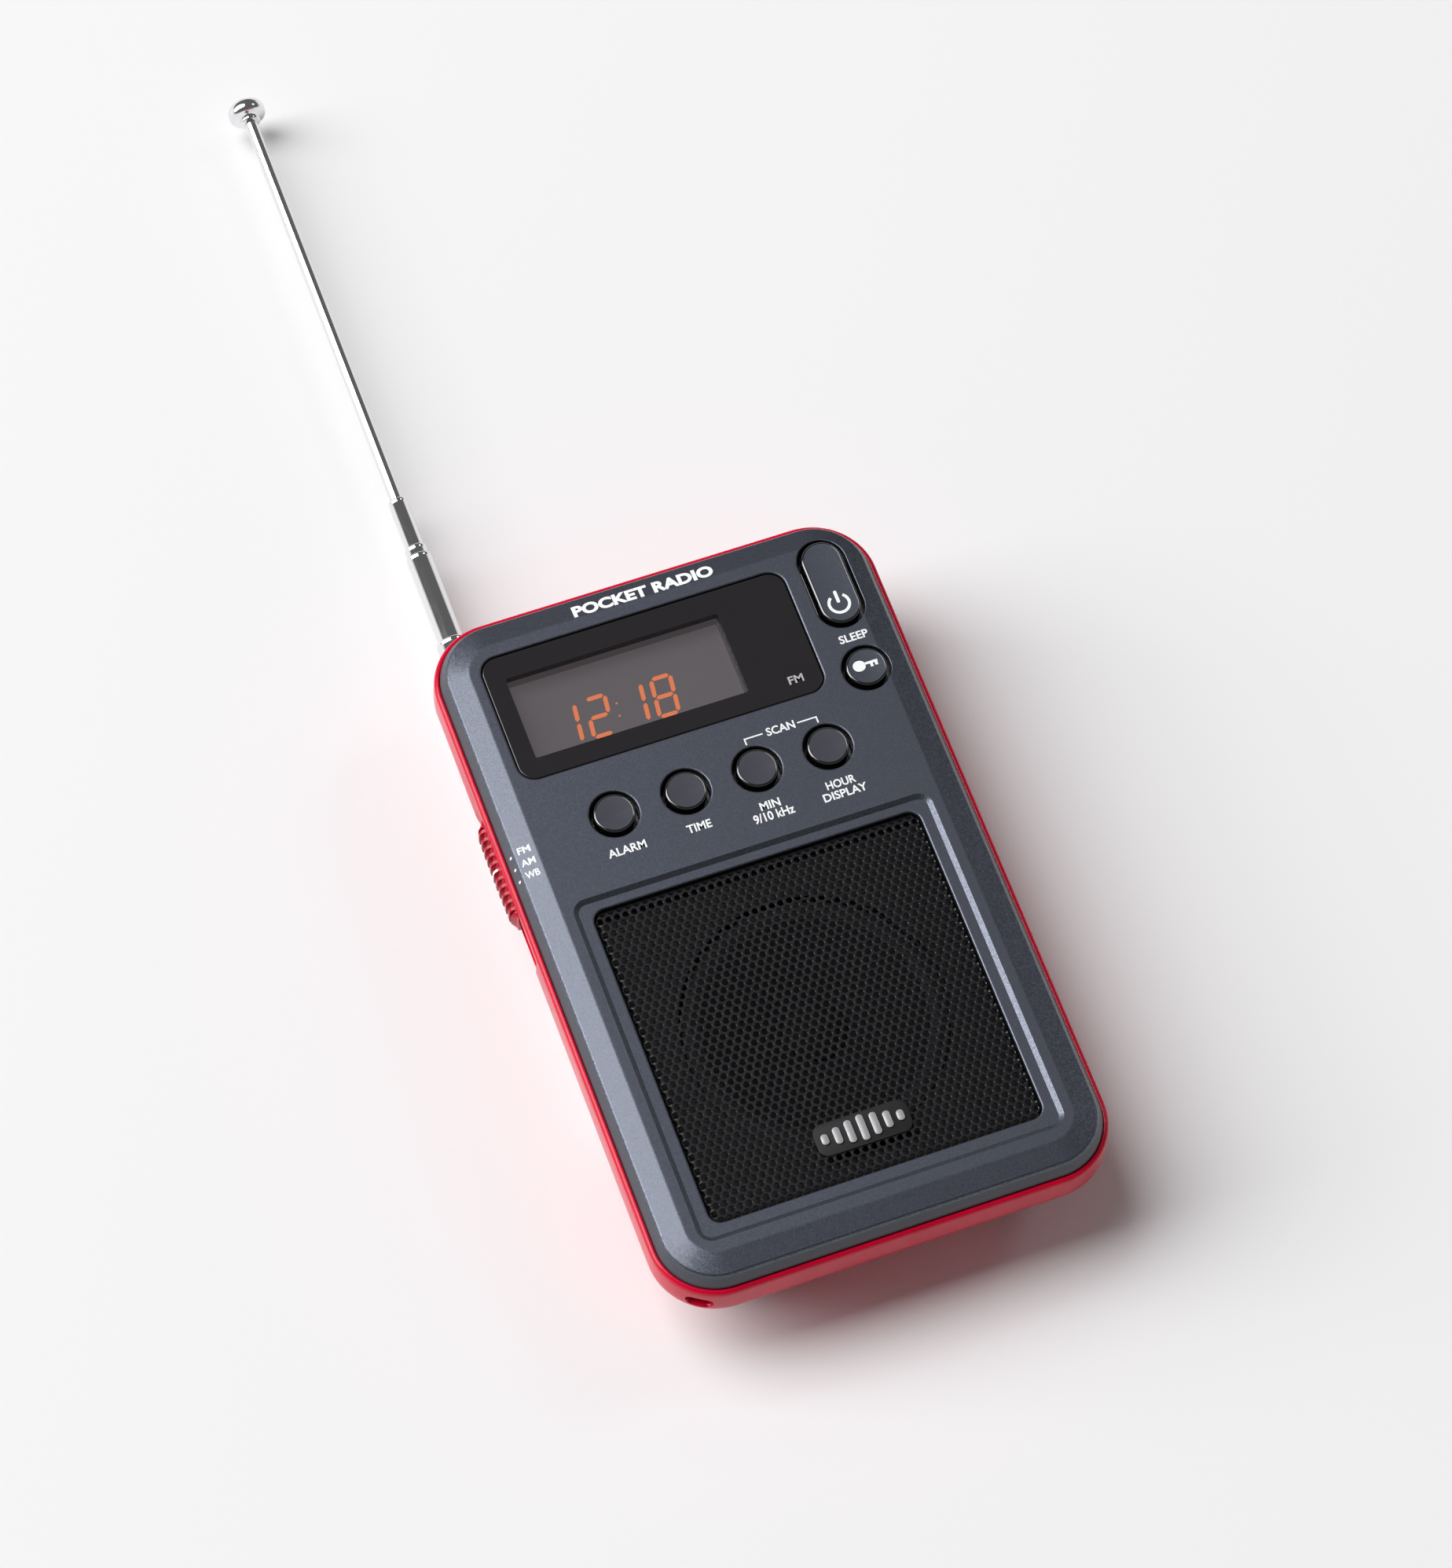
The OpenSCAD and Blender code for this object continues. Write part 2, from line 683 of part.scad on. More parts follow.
module volume_wheel() {
    at = [wheel_at[0], wheel_at[1]];
    z0 = wheel_at[2];
    color([0.75, 0.05, 0.12]) difference() {
        union() {
            post(at, wheel_d, z0, z0 + wheel_t);
            post(at, 3, z0 + wheel_t - eps, board_z - 0.4);
        }
        post(at, 12, z0 - 1, z0 + 0.6);
        post(at, 1.4, z0, z0 + 3.6);
        for (a = [0:12:348])
            translate([at[0], at[1], z0 - 1]) rotate([0, 0, a]) translate([wheel_d / 2, 0, 0])
                cylinder(h = wheel_t + 2, d = 0.9, $fn = 16);
    }
}

module wheel_screw() {
    at = [wheel_at[0], wheel_at[1]];
    color("silver") {
        post(at, 3.2, wheel_at[2] - 0.2, wheel_at[2] + 0.6);
        post(at, 1.4, wheel_at[2] + 0.59, wheel_at[2] + 3.4);
    }
}

module battery_door() {
    color("crimson") difference() {
        union() {
            box([-door_w / 2, door_low, 0], [door_w / 2, door_high, door_t]);
            box([-door_w / 2 - tongue_w, door_low, 0.75],
                [door_w / 2 + tongue_w, door_high - 2, door_t]);
        }
        for (i = [0:4]) box([-6, 31 + i * 1.6, -1], [6, 31.8 + i * 1.6, 0.5]);
    }
}

// Sleeve of the aerial between two places, with its wall
module sleeve(ro, ri, y0, y1) {
    difference() {
        along(ro, y0, y1);
        along(ri, y0 - 1, y1 + 1);
    }
}

module aerial_knuckle() {
    color("silver") difference() {
        union() {
            post([aerial_at[0], pivot_y], 5.2, aerial_at[1] - 1.8, aerial_at[1] + 1.8);
            box([aerial_at[0] - 1.6, pivot_y, aerial_at[1] - 1.6],
                [aerial_at[0] + 1.6, pivot_y + 3.2, aerial_at[1] + 1.6]);
            along(tube_r[0], pivot_y + 3, pivot_y + 3.6);
            along(tube_r[1], pivot_y + 3, pivot_y + 6);
        }
        post([aerial_at[0], pivot_y], 2.5, 0, 10);
    }
}

module aerial_outer_tube() {
    color("gainsboro") sleeve(tube_r[0], tube_r[1] + tube_gap, pivot_y + 3.6, mouth[0]);
}

module aerial_thick_tube() {
    color("gainsboro") sleeve(tube_r[1], tube_r[2] + tube_gap, mouth[1] - section_l, mouth[1]);
}

module aerial_middle_tube() {
    color("gainsboro") sleeve(tube_r[2], tube_r[3] + tube_gap, mouth[2] - section_l, mouth[2]);
}

module aerial_thin_tube() {
    color("gainsboro") sleeve(tube_r[3], tube_r[4] + tube_gap, mouth[3] - section_l, mouth[3]);
}

module aerial_rod() {
    color("gainsboro") along(tube_r[4], rod_top_y - rod_l, rod_top_y);
}

module aerial_tip() {
    color("gainsboro") translate([aerial_at[0], rod_top_y, aerial_at[1]]) rotate([-90, 0, 0])
        rotate_extrude()
            polygon([[0, 0], [1.5, 0], [1.5, 0.7], [2.4, 0.9], [2.7, 1.4], [2.7, 2.4],
                     [2.3, 3.1], [1.4, 3.5], [0, 3.6]]);
}

front_case();
rear_case();
display_lens();
lcd_glass();
lcd_holder();
lcd_backlight();
zebra_strip();
speaker_grille();
grille_badge();
speaker_gasket();
speaker_frame();
speaker_magnet();
speaker_cone();
speaker_surround();
speaker_dust_cap();
voice_coil();
main_board();
key_switches();
tuner_chip();
clock_chip();
amplifier_chip();
capacitors();
clock_crystal();
ferrite_rod();
ferrite_coil();
ferrite_clips();
band_switch();
volume_control();
earphone_jack();
battery_left();
battery_right();
battery_springs();
battery_plates();
hookup_wires();
case_screws();
board_screws();
lanyard_pin();
aerial_contact();
aerial_screw();
power_button();
lock_button();
alarm_button();
time_button();
scan_down_button();
scan_up_button();
band_knob();
band_lever();
volume_wheel();
wheel_screw();
battery_door();
aerial_knuckle();
aerial_outer_tube();
aerial_thick_tube();
aerial_middle_tube();
aerial_thin_tube();
aerial_rod();
aerial_tip();
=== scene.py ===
"""Looks of the pocket radio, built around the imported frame.  Lengths are in millimetres until a
mesh is made; +X is right of the display, +Y towards the aerial end, +Z out of the face."""
import json
import math
import bpy
import numpy as np
from mathutils import Matrix, Vector
from mathutils.geometry import delaunay_2d_cdt


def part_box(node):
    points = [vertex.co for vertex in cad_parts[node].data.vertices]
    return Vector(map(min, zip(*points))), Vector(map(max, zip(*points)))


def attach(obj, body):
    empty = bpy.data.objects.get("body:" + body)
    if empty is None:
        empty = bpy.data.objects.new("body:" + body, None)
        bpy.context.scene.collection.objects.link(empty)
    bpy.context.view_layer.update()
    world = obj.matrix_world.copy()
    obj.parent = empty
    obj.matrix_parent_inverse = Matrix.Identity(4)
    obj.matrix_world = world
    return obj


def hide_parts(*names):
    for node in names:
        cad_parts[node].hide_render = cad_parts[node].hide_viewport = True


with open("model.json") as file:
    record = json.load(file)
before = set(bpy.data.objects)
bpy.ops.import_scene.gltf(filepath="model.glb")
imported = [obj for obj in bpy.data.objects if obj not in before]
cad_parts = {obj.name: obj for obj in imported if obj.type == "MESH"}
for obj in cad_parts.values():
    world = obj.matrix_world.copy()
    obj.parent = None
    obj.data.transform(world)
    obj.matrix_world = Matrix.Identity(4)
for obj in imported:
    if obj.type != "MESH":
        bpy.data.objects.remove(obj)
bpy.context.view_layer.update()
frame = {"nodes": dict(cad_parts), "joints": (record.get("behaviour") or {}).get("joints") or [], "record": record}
MM = 0.001


# ---- places taken from the frame

def extent(node):
    """Lowest and highest corner of a CAD node, in millimetres."""
    lo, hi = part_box(node)
    return np.array(lo) / MM, np.array(hi) / MM


def middle(node):
    lo, hi = extent(node)
    return (lo + hi) / 2


def joint(name):
    return next(j for j in frame["joints"] if j["name"] == name)


REAR_LO, REAR_HI = extent("rear_case")
BODY_W = REAR_HI[0] - REAR_LO[0]
BODY_L = REAR_HI[1] - REAR_LO[1]
CORNER_R = 8.95
RIM_LO, RIM_HI = extent("front_case")
RIM_W = RIM_HI[0] - RIM_LO[0]
RIM_L = RIM_HI[1] - RIM_LO[1]
RIM_R = 8.0
FACE_Z = RIM_HI[2]
SEAM_Z = 16.0
EDGE_DROP = 2.4
EDGE_LEAN = 0.9
SLOPE_DROP = 0.6
SLOPE_END = 3.95
UNDER_PLATE = FACE_Z - 2.0
LEDGE_IN = 1.9
RIB_IN = 4.2
RIB_Z = 17.4
BAFFLE_Z = (17.0, 17.6)

LENS_LO, LENS_HI = extent("display_lens")
LENS_W, LENS_L = (LENS_HI - LENS_LO)[:2]
WINDOW = (LENS_W + 0.3, LENS_L + 0.3, 2.5, tuple(middle("display_lens")[:2]))
LENS_TOP = LENS_HI[2]
LENS_FOOT = LENS_LO[2]
VIEW_AT = (WINDOW[3][0] - 3.75, WINDOW[3][1] - 0.28)
VIEW = (30.2, 12.5, 0.3, VIEW_AT)
LCD_TOP = extent("lcd_glass")[1][2]

GRILLE_LO, GRILLE_HI = extent("speaker_grille")
GRILLE_AT = (0.0, (GRILLE_LO[1] + GRILLE_HI[1]) / 2)
OPENING = (GRILLE_HI[0] - GRILLE_LO[0] + 0.2, GRILLE_HI[1] - GRILLE_LO[1] + 0.2, 1.75, GRILLE_AT)
GRILLE_TOP = GRILLE_HI[2]
BORDER = (OPENING[0] + 4.5, OPENING[1] + 4.2, 2.0, (0.0, GRILLE_AT[1] - 0.15))
BORDER_SLOPE = 0.66
BORDER_DROP = 0.47

KEYS = {name + "_button": name + "_key"
        for name in ("power", "lock", "alarm", "time", "scan_down", "scan_up")}
KEY_HOLE = 6.7
KEY_CAP = 5.6
KEY_FLAT = 5.05
KEY_FLANGE = 7.6

KNOB = np.array([RIM_LO[0] - 0.95, middle("band_knob")[1], middle("band_knob")[2]])
STEPS = -joint("band_slide")["range_m"][0] / MM / 2
WHEEL = np.array(joint("volume_turn")["pos_m"]) / MM
JACK = middle("earphone_jack")
AERIAL = np.array(joint("aerial_swing")["pos_m"]) / MM


def key_shape(node):
    """Straight length and middle of a button."""
    lo, hi = extent(node)
    return (hi[1] - lo[1]) - (hi[0] - lo[0]), tuple(((lo + hi) / 2)[:2])


# ---- outlines and heights

def outline(w, l, r, at=(0, 0), steps=16):
    """Points round a rounded rectangle, anticlockwise, without doubled points."""
    points = []
    for quarter in range(4):
        side_x = 1 if quarter in (0, 3) else -1
        side_y = 1 if quarter < 2 else -1
        for i in range(steps + 1):
            a = math.radians(90 * (quarter + i / steps))
            p = (at[0] + side_x * (w / 2 - r) + r * math.cos(a),
                 at[1] + side_y * (l / 2 - r) + r * math.sin(a))
            if not points or math.dist(p, points[-1]) > 1e-5:
                points.append(p)
    if math.dist(points[0], points[-1]) < 1e-5:
        points.pop()
    return points


def grown(shape, by, steps=16):
    """Outline of a (width, length, radius, middle) shape moved outwards by a distance."""
    w, l, r, at = shape
    return outline(w + 2 * by, l + 2 * by, max(r + by, 0.02), at, steps)


def layer(shape, by, z, steps=16):
    """Outline of a shape moved outwards by a distance, at a height."""
    return at_height(grown(shape, by, steps), z)


def depth(x, y, shape):
    """How far a place lies inside a rounded rectangle; negative outside it."""
    w, l, r, at = shape
    qx = abs(x - at[0]) - (w / 2 - r)
    qy = abs(y - at[1]) - (l / 2 - r)
    return r - math.hypot(max(qx, 0), max(qy, 0)) - min(max(qx, qy), 0)


def rounded_drop(d, radius):
    """Fall of a rounded edge at distance d from the edge."""
    if d >= radius:
        return 0.0
    return radius - math.sqrt(max(radius ** 2 - (radius - max(d, 0)) ** 2, 0))


def smooth_step(t):
    t = min(max(t, 0), 1)
    return t * t * (3 - 2 * t)


def smooth_min(a, b, k):
    h = max(k - abs(a - b), 0) / k
    return min(a, b) - h * h * k / 4


RIM = (RIM_W, RIM_L, RIM_R, (0, 0))
EDGE_FOOT = 0.06
EDGE_ROUND = 0.42
CREASE_ROUND = 0.03
HOLE_EDGE = 0.2


def key_hole(node):
    straight, at = key_shape(node)
    return (KEY_HOLE, KEY_HOLE + straight, KEY_HOLE / 2, at)


KEY_HOLES = [key_hole(node) for node in KEYS]
FACE_HOLES = [WINDOW, OPENING] + KEY_HOLES


def face_height(x, y):
    """Height of the painted front case."""
    d = depth(x, y, RIM)
    steep = (EDGE_DROP - SLOPE_DROP) / (EDGE_LEAN - EDGE_FOOT)
    gentle = SLOPE_DROP / (SLOPE_END - EDGE_LEAN)
    edge = -EDGE_DROP + steep * (d - EDGE_FOOT)
    band = -SLOPE_DROP + gentle * (d - EDGE_LEAN)
    z = FACE_Z + smooth_min(smooth_min(edge, band, EDGE_ROUND), 0.0, CREASE_ROUND)
    z -= BORDER_DROP * min(max(depth(x, y, BORDER) / BORDER_SLOPE, 0), 1)
    for hole in FACE_HOLES:
        z -= rounded_drop(-depth(x, y, hole), HOLE_EDGE)
    return z


def under_height(x, y):
    """Height of the inside of the front case."""
    d = depth(x, y, RIM)
    if d < LEDGE_IN:
        return SEAM_Z
    return RIB_Z if d < RIB_IN else UNDER_PLATE


# ---- mesh making

def make_mesh(name, points, faces, kinds=None, smooth=35):
    mesh = bpy.data.meshes.new(name)
    mesh.from_pydata([tuple(c * MM for c in p) for p in points], [], faces)
    if kinds is not None:
        mesh.polygons.foreach_set("material_index", kinds)
    mesh.update()
    if smooth:
        mesh.shade_smooth()
        mesh.set_sharp_from_angle(angle=math.radians(smooth))
    return mesh


def put(name, data):
    """New object in the scene."""
    item = bpy.data.objects.new(name, data)
    bpy.context.scene.collection.objects.link(item)
    return item


def evaluated(item):
    """New mesh of an object with its cuts or its letters worked out."""
    bpy.context.view_layer.update()
    return bpy.data.meshes.new_from_object(item.evaluated_get(bpy.context.evaluated_depsgraph_get()))


def add(name, shape, finishes, body, node=None, smooth=35):
    """Puts a ready mesh, or one made of points, faces and kinds, in the scene as a piece that
    rides on a body in place of a CAD node.  Finishes are the names for kinds 0, 1 and so on."""
    mesh = make_mesh(name, *shape, smooth=smooth) if isinstance(shape, tuple) else shape
    piece = put(name, mesh)
    for finish in finishes.split():
        mesh.materials.append(MAT[finish])
    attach(piece, body)
    if node:
        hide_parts(node)


def loft(rings, caps=(True, True), kinds=None, cap_kinds=(0, 0)):
    """Joins rings of equal length with quads.  Returns points, faces and a kind for each face."""
    n = len(rings[0])
    points = [p for ring in rings for p in ring]
    faces = []
    out = []
    for k in range(len(rings) - 1):
        for i in range(n):
            j = (i + 1) % n
            faces.append((n * k + i, n * k + j, n * (k + 1) + j, n * (k + 1) + i))
            out.append(kinds[k] if kinds else 0)
    if caps[0]:
        faces.append(tuple(range(n - 1, -1, -1)))
        out.append(cap_kinds[0])
    if caps[1]:
        last = n * (len(rings) - 1)
        faces.append(tuple(last + i for i in range(n)))
        out.append(cap_kinds[1])
    return points, faces, out


def at_height(ring, z):
    return [(x, y, z) for x, y in ring]


def turned(profile, place, steps=64, kinds=None, cap_kinds=(0, 0)):
    """Turned solid from (radius, height) pairs; place puts (x, y, z) of the axis frame."""
    rings = []
    for r, h in profile:
        rings.append([place(r * math.cos(math.tau * i / steps), r * math.sin(math.tau * i / steps), h)
                      for i in range(steps)])
    return loft(rings, kinds=kinds, cap_kinds=cap_kinds)


def turned_ring(profile, place, steps=64):
    """Turned tube from a closed loop of (radius, height) pairs."""
    points, faces, kinds = turned(list(profile) + [profile[0]], place, steps)
    n = steps
    last = n * len(profile)
    faces = [tuple(i - last if i >= last else i for i in f) for f in faces if len(f) == 4]
    return points[:last], faces, kinds[:len(faces)]


def upright(at):
    """Axis frame of something that stands along +Z."""
    return lambda x, y, h: (at[0] + x, at[1] + y, h)


def lengthways(at):
    """Axis frame of something that lies along +Y."""
    return lambda x, y, h: (at[0] + y, h, at[2] + x)


def sideways(at):
    """Axis frame of something that lies along +X."""
    return lambda x, y, h: (h, at[1] + x, at[2] + y)


def slab(shape, holes, extra, top, under):
    """Closed plate between two height functions.  Outlines in extra are kept as edges.
    Faces on top are kind 0, walls kind 1 and the under side kind 2."""
    loops = [outline(*shape)] + [outline(*h) for h in holes] + extra
    places = []
    edges = []
    for loop in loops:
        start = len(places)
        places += [Vector(p) for p in loop]
        edges += [(start + i, start + (i + 1) % len(loop)) for i in range(len(loop))]
    flat, _, triangles, _, _, _ = delaunay_2d_cdt(places, edges, [], 0, 1e-6)
    kept = []
    for t in triangles:
        cx = sum(flat[i][0] for i in t) / len(t)
        cy = sum(flat[i][1] for i in t) / len(t)
        if depth(cx, cy, shape) > 0 and all(depth(cx, cy, h) < 0 for h in holes):
            kept.append(tuple(t))
    used = sorted(set(i for t in kept for i in t))
    index = {old: new for new, old in enumerate(used)}
    n = len(used)
    points = [(flat[i][0], flat[i][1], top(flat[i][0], flat[i][1])) for i in used]
    points += [(flat[i][0], flat[i][1], under(flat[i][0], flat[i][1])) for i in used]
    tops = [tuple(index[i] for i in t) for t in kept]
    directed = set((t[i], t[(i + 1) % len(t)]) for t in tops for i in range(len(t)))
    walls = [(b, a, a + n, b + n) for a, b in directed if (b, a) not in directed]
    unders = [tuple(i + n for i in reversed(t)) for t in tops]
    kinds = [0] * len(tops) + [1] * len(walls) + [2] * len(unders)
    return points, tops + walls + unders, kinds


def closed_block(shape, z0, z1, edge=0.1, steps=8):
    """Block with a rounded rectangle outline and softened edges."""
    rings = ((-edge, z0), (0, z0 + edge), (0, z1 - edge), (-edge * 0.3, z1 - edge * 0.3), (-edge, z1))
    return loft([layer(shape, by, z, steps) for by, z in rings])


def joined(parts):
    """One point and face list from several."""
    points = []
    faces = []
    kinds = []
    for p, f, k in parts:
        base = len(points)
        points += p
        faces += [tuple(i + base for i in face) for face in f]
        kinds += k
    return points, faces, kinds


def cut(mesh, cutters, operation="DIFFERENCE"):
    """Mesh with closed cutter shapes taken out of it, or cut down to the part inside them."""
    piece = put("being_cut", mesh)
    tools = []
    for points, faces, _ in cutters:
        tool = put("cutter", make_mesh("cutter", points, faces))
        modifier = piece.modifiers.new("cut", "BOOLEAN")
        modifier.operation = operation
        modifier.solver = "EXACT"
        modifier.object = tool
        tools.append(tool)
    result = evaluated(piece)
    for item in tools + [piece]:
        bpy.data.objects.remove(item)
    return result


def cleaned(mesh, name, smooth):
    """Cut mesh without its old materials, shaded smooth up to an angle."""
    mesh.name = name
    mesh.materials.clear()
    mesh.shade_smooth()
    mesh.set_sharp_from_angle(angle=math.radians(smooth))
    return mesh


def box_cutter(a, b):
    """Plain closed block between two corners, for cutting."""
    ring = [(a[0], a[1]), (b[0], a[1]), (b[0], b[1]), (a[0], b[1])]
    return loft([at_height(ring, a[2]), at_height(ring, b[2])])


def prism(ring, z0, z1):
    return loft([at_height(ring, z0), at_height(ring, z1)])


# ---- materials

def linear(r, g, b):
    """Colour from everyday 0-255 values."""
    values = []
    for v in (r, g, b):
        v /= 255
        values.append(v / 12.92 if v <= 0.04045 else ((v + 0.055) / 1.055) ** 2.4)
    return (*values, 1)


def feed(tree, node, *operands, **inputs):
    """Sets inputs of a node by place or by name, or links those whose value is a socket."""
    named = [(key.replace("_", " "), value) for key, value in inputs.items()]
    for key, value in list(enumerate(operands)) + named:
        if isinstance(value, bpy.types.NodeSocket):
            tree.links.new(value, node.inputs[key])
        else:
            node.inputs[key].default_value = value


def new_node(tree, kind, **inputs):
    """Makes a node, feeds it and returns its outputs."""
    node = tree.nodes.new(kind)
    feed(tree, node, **inputs)
    return node.outputs


class Surface:
    """Procedural material around one Principled shader."""

    def __init__(self, name, colour, roughness=0.5, metallic=0.0, **sockets):
        self.material = bpy.data.materials.new(name)
        self.material.use_nodes = True
        self.tree = self.material.node_tree
        self.colour = colour
        self.place = new_node(self.tree, "ShaderNodeTexCoord")["Object"]
        self.shade(Base_Color=colour, Roughness=roughness, Metallic=metallic, **sockets)

    def shade(self, **sockets):
        """Values or links for the Principled shader."""
        feed(self.tree, self.tree.nodes["Principled BSDF"], **sockets)
        return self

    def noise(self, scale, stretch, detail):
        """Noise in object space, scaled along each axis."""
        place = new_node(self.tree, "ShaderNodeMapping", Vector=self.place, Scale=stretch)["Vector"]
        return new_node(self.tree, "ShaderNodeTexNoise", Vector=place, Scale=scale, Detail=detail)["Fac"]

    def tint(self, value, low, high, ends=(0, 1)):
        """Colour that runs between two multiples of the base colour."""
        node = self.tree.nodes.new("ShaderNodeValToRGB")
        for stop, end, factor in zip(node.color_ramp.elements, ends, (low, high)):
            stop.position = end
            stop.color = [min(c * factor, 1) for c in self.colour[:3]] + [1]
        feed(self.tree, node, Fac=value)
        return self.shade(Base_Color=node.outputs["Color"])

    def mottle(self, scale, spread, stretch=(1, 1, 1), detail=4):
        """Colour that wanders round the base colour."""
        return self.tint(self.noise(scale, stretch, detail), 1 - spread, 1 + spread, (0.3, 0.7))

    def polish(self, scale, low, high, stretch=(1, 1, 1), detail=4):
        """Roughness that wanders between two values."""
        noise = self.noise(scale, stretch, detail)
        spread = new_node(self.tree, "ShaderNodeMapRange", Value=noise, From_Min=0.3, From_Max=0.7,
                          To_Min=low, To_Max=high)
        return self.shade(Roughness=spread["Result"])

    def grain(self, scale, height, stretch=(1, 1, 1), detail=3):
        """Fine relief, with its height in millimetres."""
        noise = self.noise(scale, stretch, detail)
        bump = new_node(self.tree, "ShaderNodeBump", Height=noise, Distance=height * MM)
        return self.shade(Normal=bump["Normal"])

    def vector_math(self, operation, *operands):
        """Result of a vector operation."""
        node = self.tree.nodes.new("ShaderNodeVectorMath")
        node.operation = operation
        feed(self.tree, node, *operands)
        return node.outputs["Vector"]

    def flecks(self, scale, tilt, bright):
        """Metallic flecks: small cells, each tilted and tinted its own way."""
        cells = new_node(self.tree, "ShaderNodeTexVoronoi", Vector=self.place, Scale=scale)["Color"]
        normal = new_node(self.tree, "ShaderNodeNewGeometry")["Normal"]
        centred = self.vector_math("SUBTRACT", cells, (0.5, 0.5, 0.5))
        tilted = self.vector_math("MULTIPLY_ADD", centred, (tilt, tilt, tilt), normal)
        self.shade(Normal=self.vector_math("NORMALIZE", tilted))
        grey = new_node(self.tree, "ShaderNodeSeparateColor", Color=cells)["Red"]
        return self.tint(grey, 2 - bright, bright)


def make_materials():
    """Every finish by name.  A finish with the name of a record's slot is the look of that slot."""
    m = {}
    m["front_shell"] = Surface("fleck_paint", linear(88, 92, 103), 0.43, 0.92,
                               Coat_Weight=0.25, Coat_Roughness=0.15).flecks(7500, 0.14, 1.3)
    m["rim_grey"] = Surface("rim_plastic", linear(60, 63, 71), 0.42, Coat_Weight=0.1) \
        .grain(6000, 0.004).mottle(900, 0.05)
    m["inner_black"] = Surface("inner_plastic", linear(10, 10, 11), 0.5).grain(3000, 0.004)
    m["rear_shell"] = Surface("crimson_gloss", linear(198, 0, 44), 0.2, Specular_IOR_Level=0.28) \
       .mottle(160, 0.05).grain(260, 0.003)
    m["window"] = Surface("window_black", linear(38, 36, 38), 0.12).polish(300, 0.1, 0.16)
    m["pane"] = Surface("window_clear", linear(30, 28, 30), 0.08, Alpha=0.16) \
        .polish(300, 0.06, 0.1)
    # Painted light: the grey cell glows so that it looks evenly lit in its well, without the shade its walls cast.
    m["lcd"] = Surface("lcd_grey_painted_glow", linear(60, 56, 58), 0.5, Emission_Strength=1.0,
                       Emission_Color=linear(95, 90, 93)).mottle(500, 0.03)
    # Painted light: the frame walls glow to lift the shade they lie in.
    m["display_frame"] = Surface("display_frame", linear(48, 44, 46), 0.6, Emission_Strength=1.0,
                                 Emission_Color=linear(68, 64, 66)).grain(2500, 0.004)
    # Painted light: the orange digits glow of their own.
    m["digits"] = Surface("lcd_orange_painted_glow", linear(170, 90, 55), 0.5, Emission_Strength=1.0,
                          Emission_Color=linear(218, 120, 78)).mottle(900, 0.04)
    m["print"] = Surface("white_print", linear(246, 247, 248), 0.45).mottle(2500, 0.03)
    m["print_grey"] = Surface("grey_print", linear(176, 174, 177), 0.45).mottle(2500, 0.03)
    m["grille_metal"] = Surface("grille_black", linear(27, 27, 30), 0.28, 0.2, Coat_Weight=0.1) \
        .grain(2500, 0.004).polish(900, 0.24, 0.34)
    m["silver"] = Surface("badge_silver", linear(168, 168, 171), 0.4, 0.3) \
        .grain(900, 0.003, (1, 12, 1)).polish(900, 0.34, 0.46)
    m["badge_plate"] = Surface("badge_black", linear(8, 8, 9), 0.66).grain(2500, 0.006)
    m["chrome"] = Surface("chrome", (0.84, 0.84, 0.85, 1), 0.07, 1.0) \
        .polish(500, 0.05, 0.12, (12, 1, 12)).grain(400, 0.0012, (14, 1, 14))
    m["steel"] = Surface("plated_steel", (0.56, 0.56, 0.57, 1), 0.3, 1.0) \
        .polish(700, 0.22, 0.4).grain(900, 0.004)
    m["black_steel"] = Surface("painted_steel", linear(18, 18, 20), 0.6).grain(900, 0.004) \
        .mottle(800, 0.06)
    m["grey_plastic"] = Surface("grey_plastic", linear(66, 66, 68), 0.55).grain(2500, 0.006) \
        .mottle(700, 0.06)
    m["white_plastic"] = Surface("ivory_plastic", linear(228, 226, 218), 0.5) \
        .grain(2500, 0.005).mottle(500, 0.04)
    m["black_paper"] = Surface("cone_paper", linear(13, 13, 14), 0.85).grain(1500, 0.03) \
        .mottle(1200, 0.2)
    m["rubber"] = Surface("soft_rubber", linear(38, 38, 40), 0.75).grain(2600, 0.01) \
        .mottle(800, 0.1)
    m["board"] = Surface("board_green", linear(24, 92, 58), 0.3).mottle(350, 0.18) \
        .grain(900, 0.012)
    m["component"] = Surface("epoxy_black", linear(28, 28, 30), 0.6).grain(3500, 0.008) \
        .mottle(1500, 0.1)
    m["capacitor"] = Surface("sleeve_blue", linear(22, 34, 86), 0.25).mottle(400, 0.08) \
        .grain(900, 0.004)
    m["ferrite"] = Surface("ferrite_grey", linear(52, 52, 55), 0.7).grain(1800, 0.02) \
        .mottle(900, 0.12)
    m["copper"] = Surface("copper_wire", (0.72, 0.32, 0.13, 1), 0.3, 1.0) \
        .grain(900, 0.05, (8, 1, 1)).polish(900, 0.24, 0.4)
    m["battery"] = Surface("cell_jacket", linear(190, 150, 60), 0.28, 0.4) \
        .mottle(150, 0.06).grain(500, 0.003)
    m["wire"] = Surface("wire_red", linear(178, 16, 20), 0.4).mottle(800, 0.06) \
        .grain(1200, 0.004)
    m["key_paint"] = Surface("key_paint", linear(84, 88, 98), 0.42, 0.7).flecks(7500, 0.1, 1.15)
    m["key_top"] = Surface("key_top", linear(62, 63, 72), 0.42, 0.1).grain(4500, 0.003) \
        .mottle(1500, 0.04)
    m["key_black"] = Surface("key_black", linear(12, 12, 14), 0.1, Coat_Weight=1.0, Coat_IOR=1.7) \
        .polish(700, 0.08, 0.14)
    m["knob_red"] = Surface("knob_crimson", linear(176, 0, 38), 0.22, Specular_IOR_Level=0.3) \
        .mottle(250, 0.06).grain(700, 0.003)
    m["floor"] = Surface("pale_floor", linear(238, 238, 239), 0.8).mottle(3, 0.005) \
        .grain(900, 0.01)
    return {name: surface.material for name, surface in m.items()}


MAT = make_materials()


# ---- front case

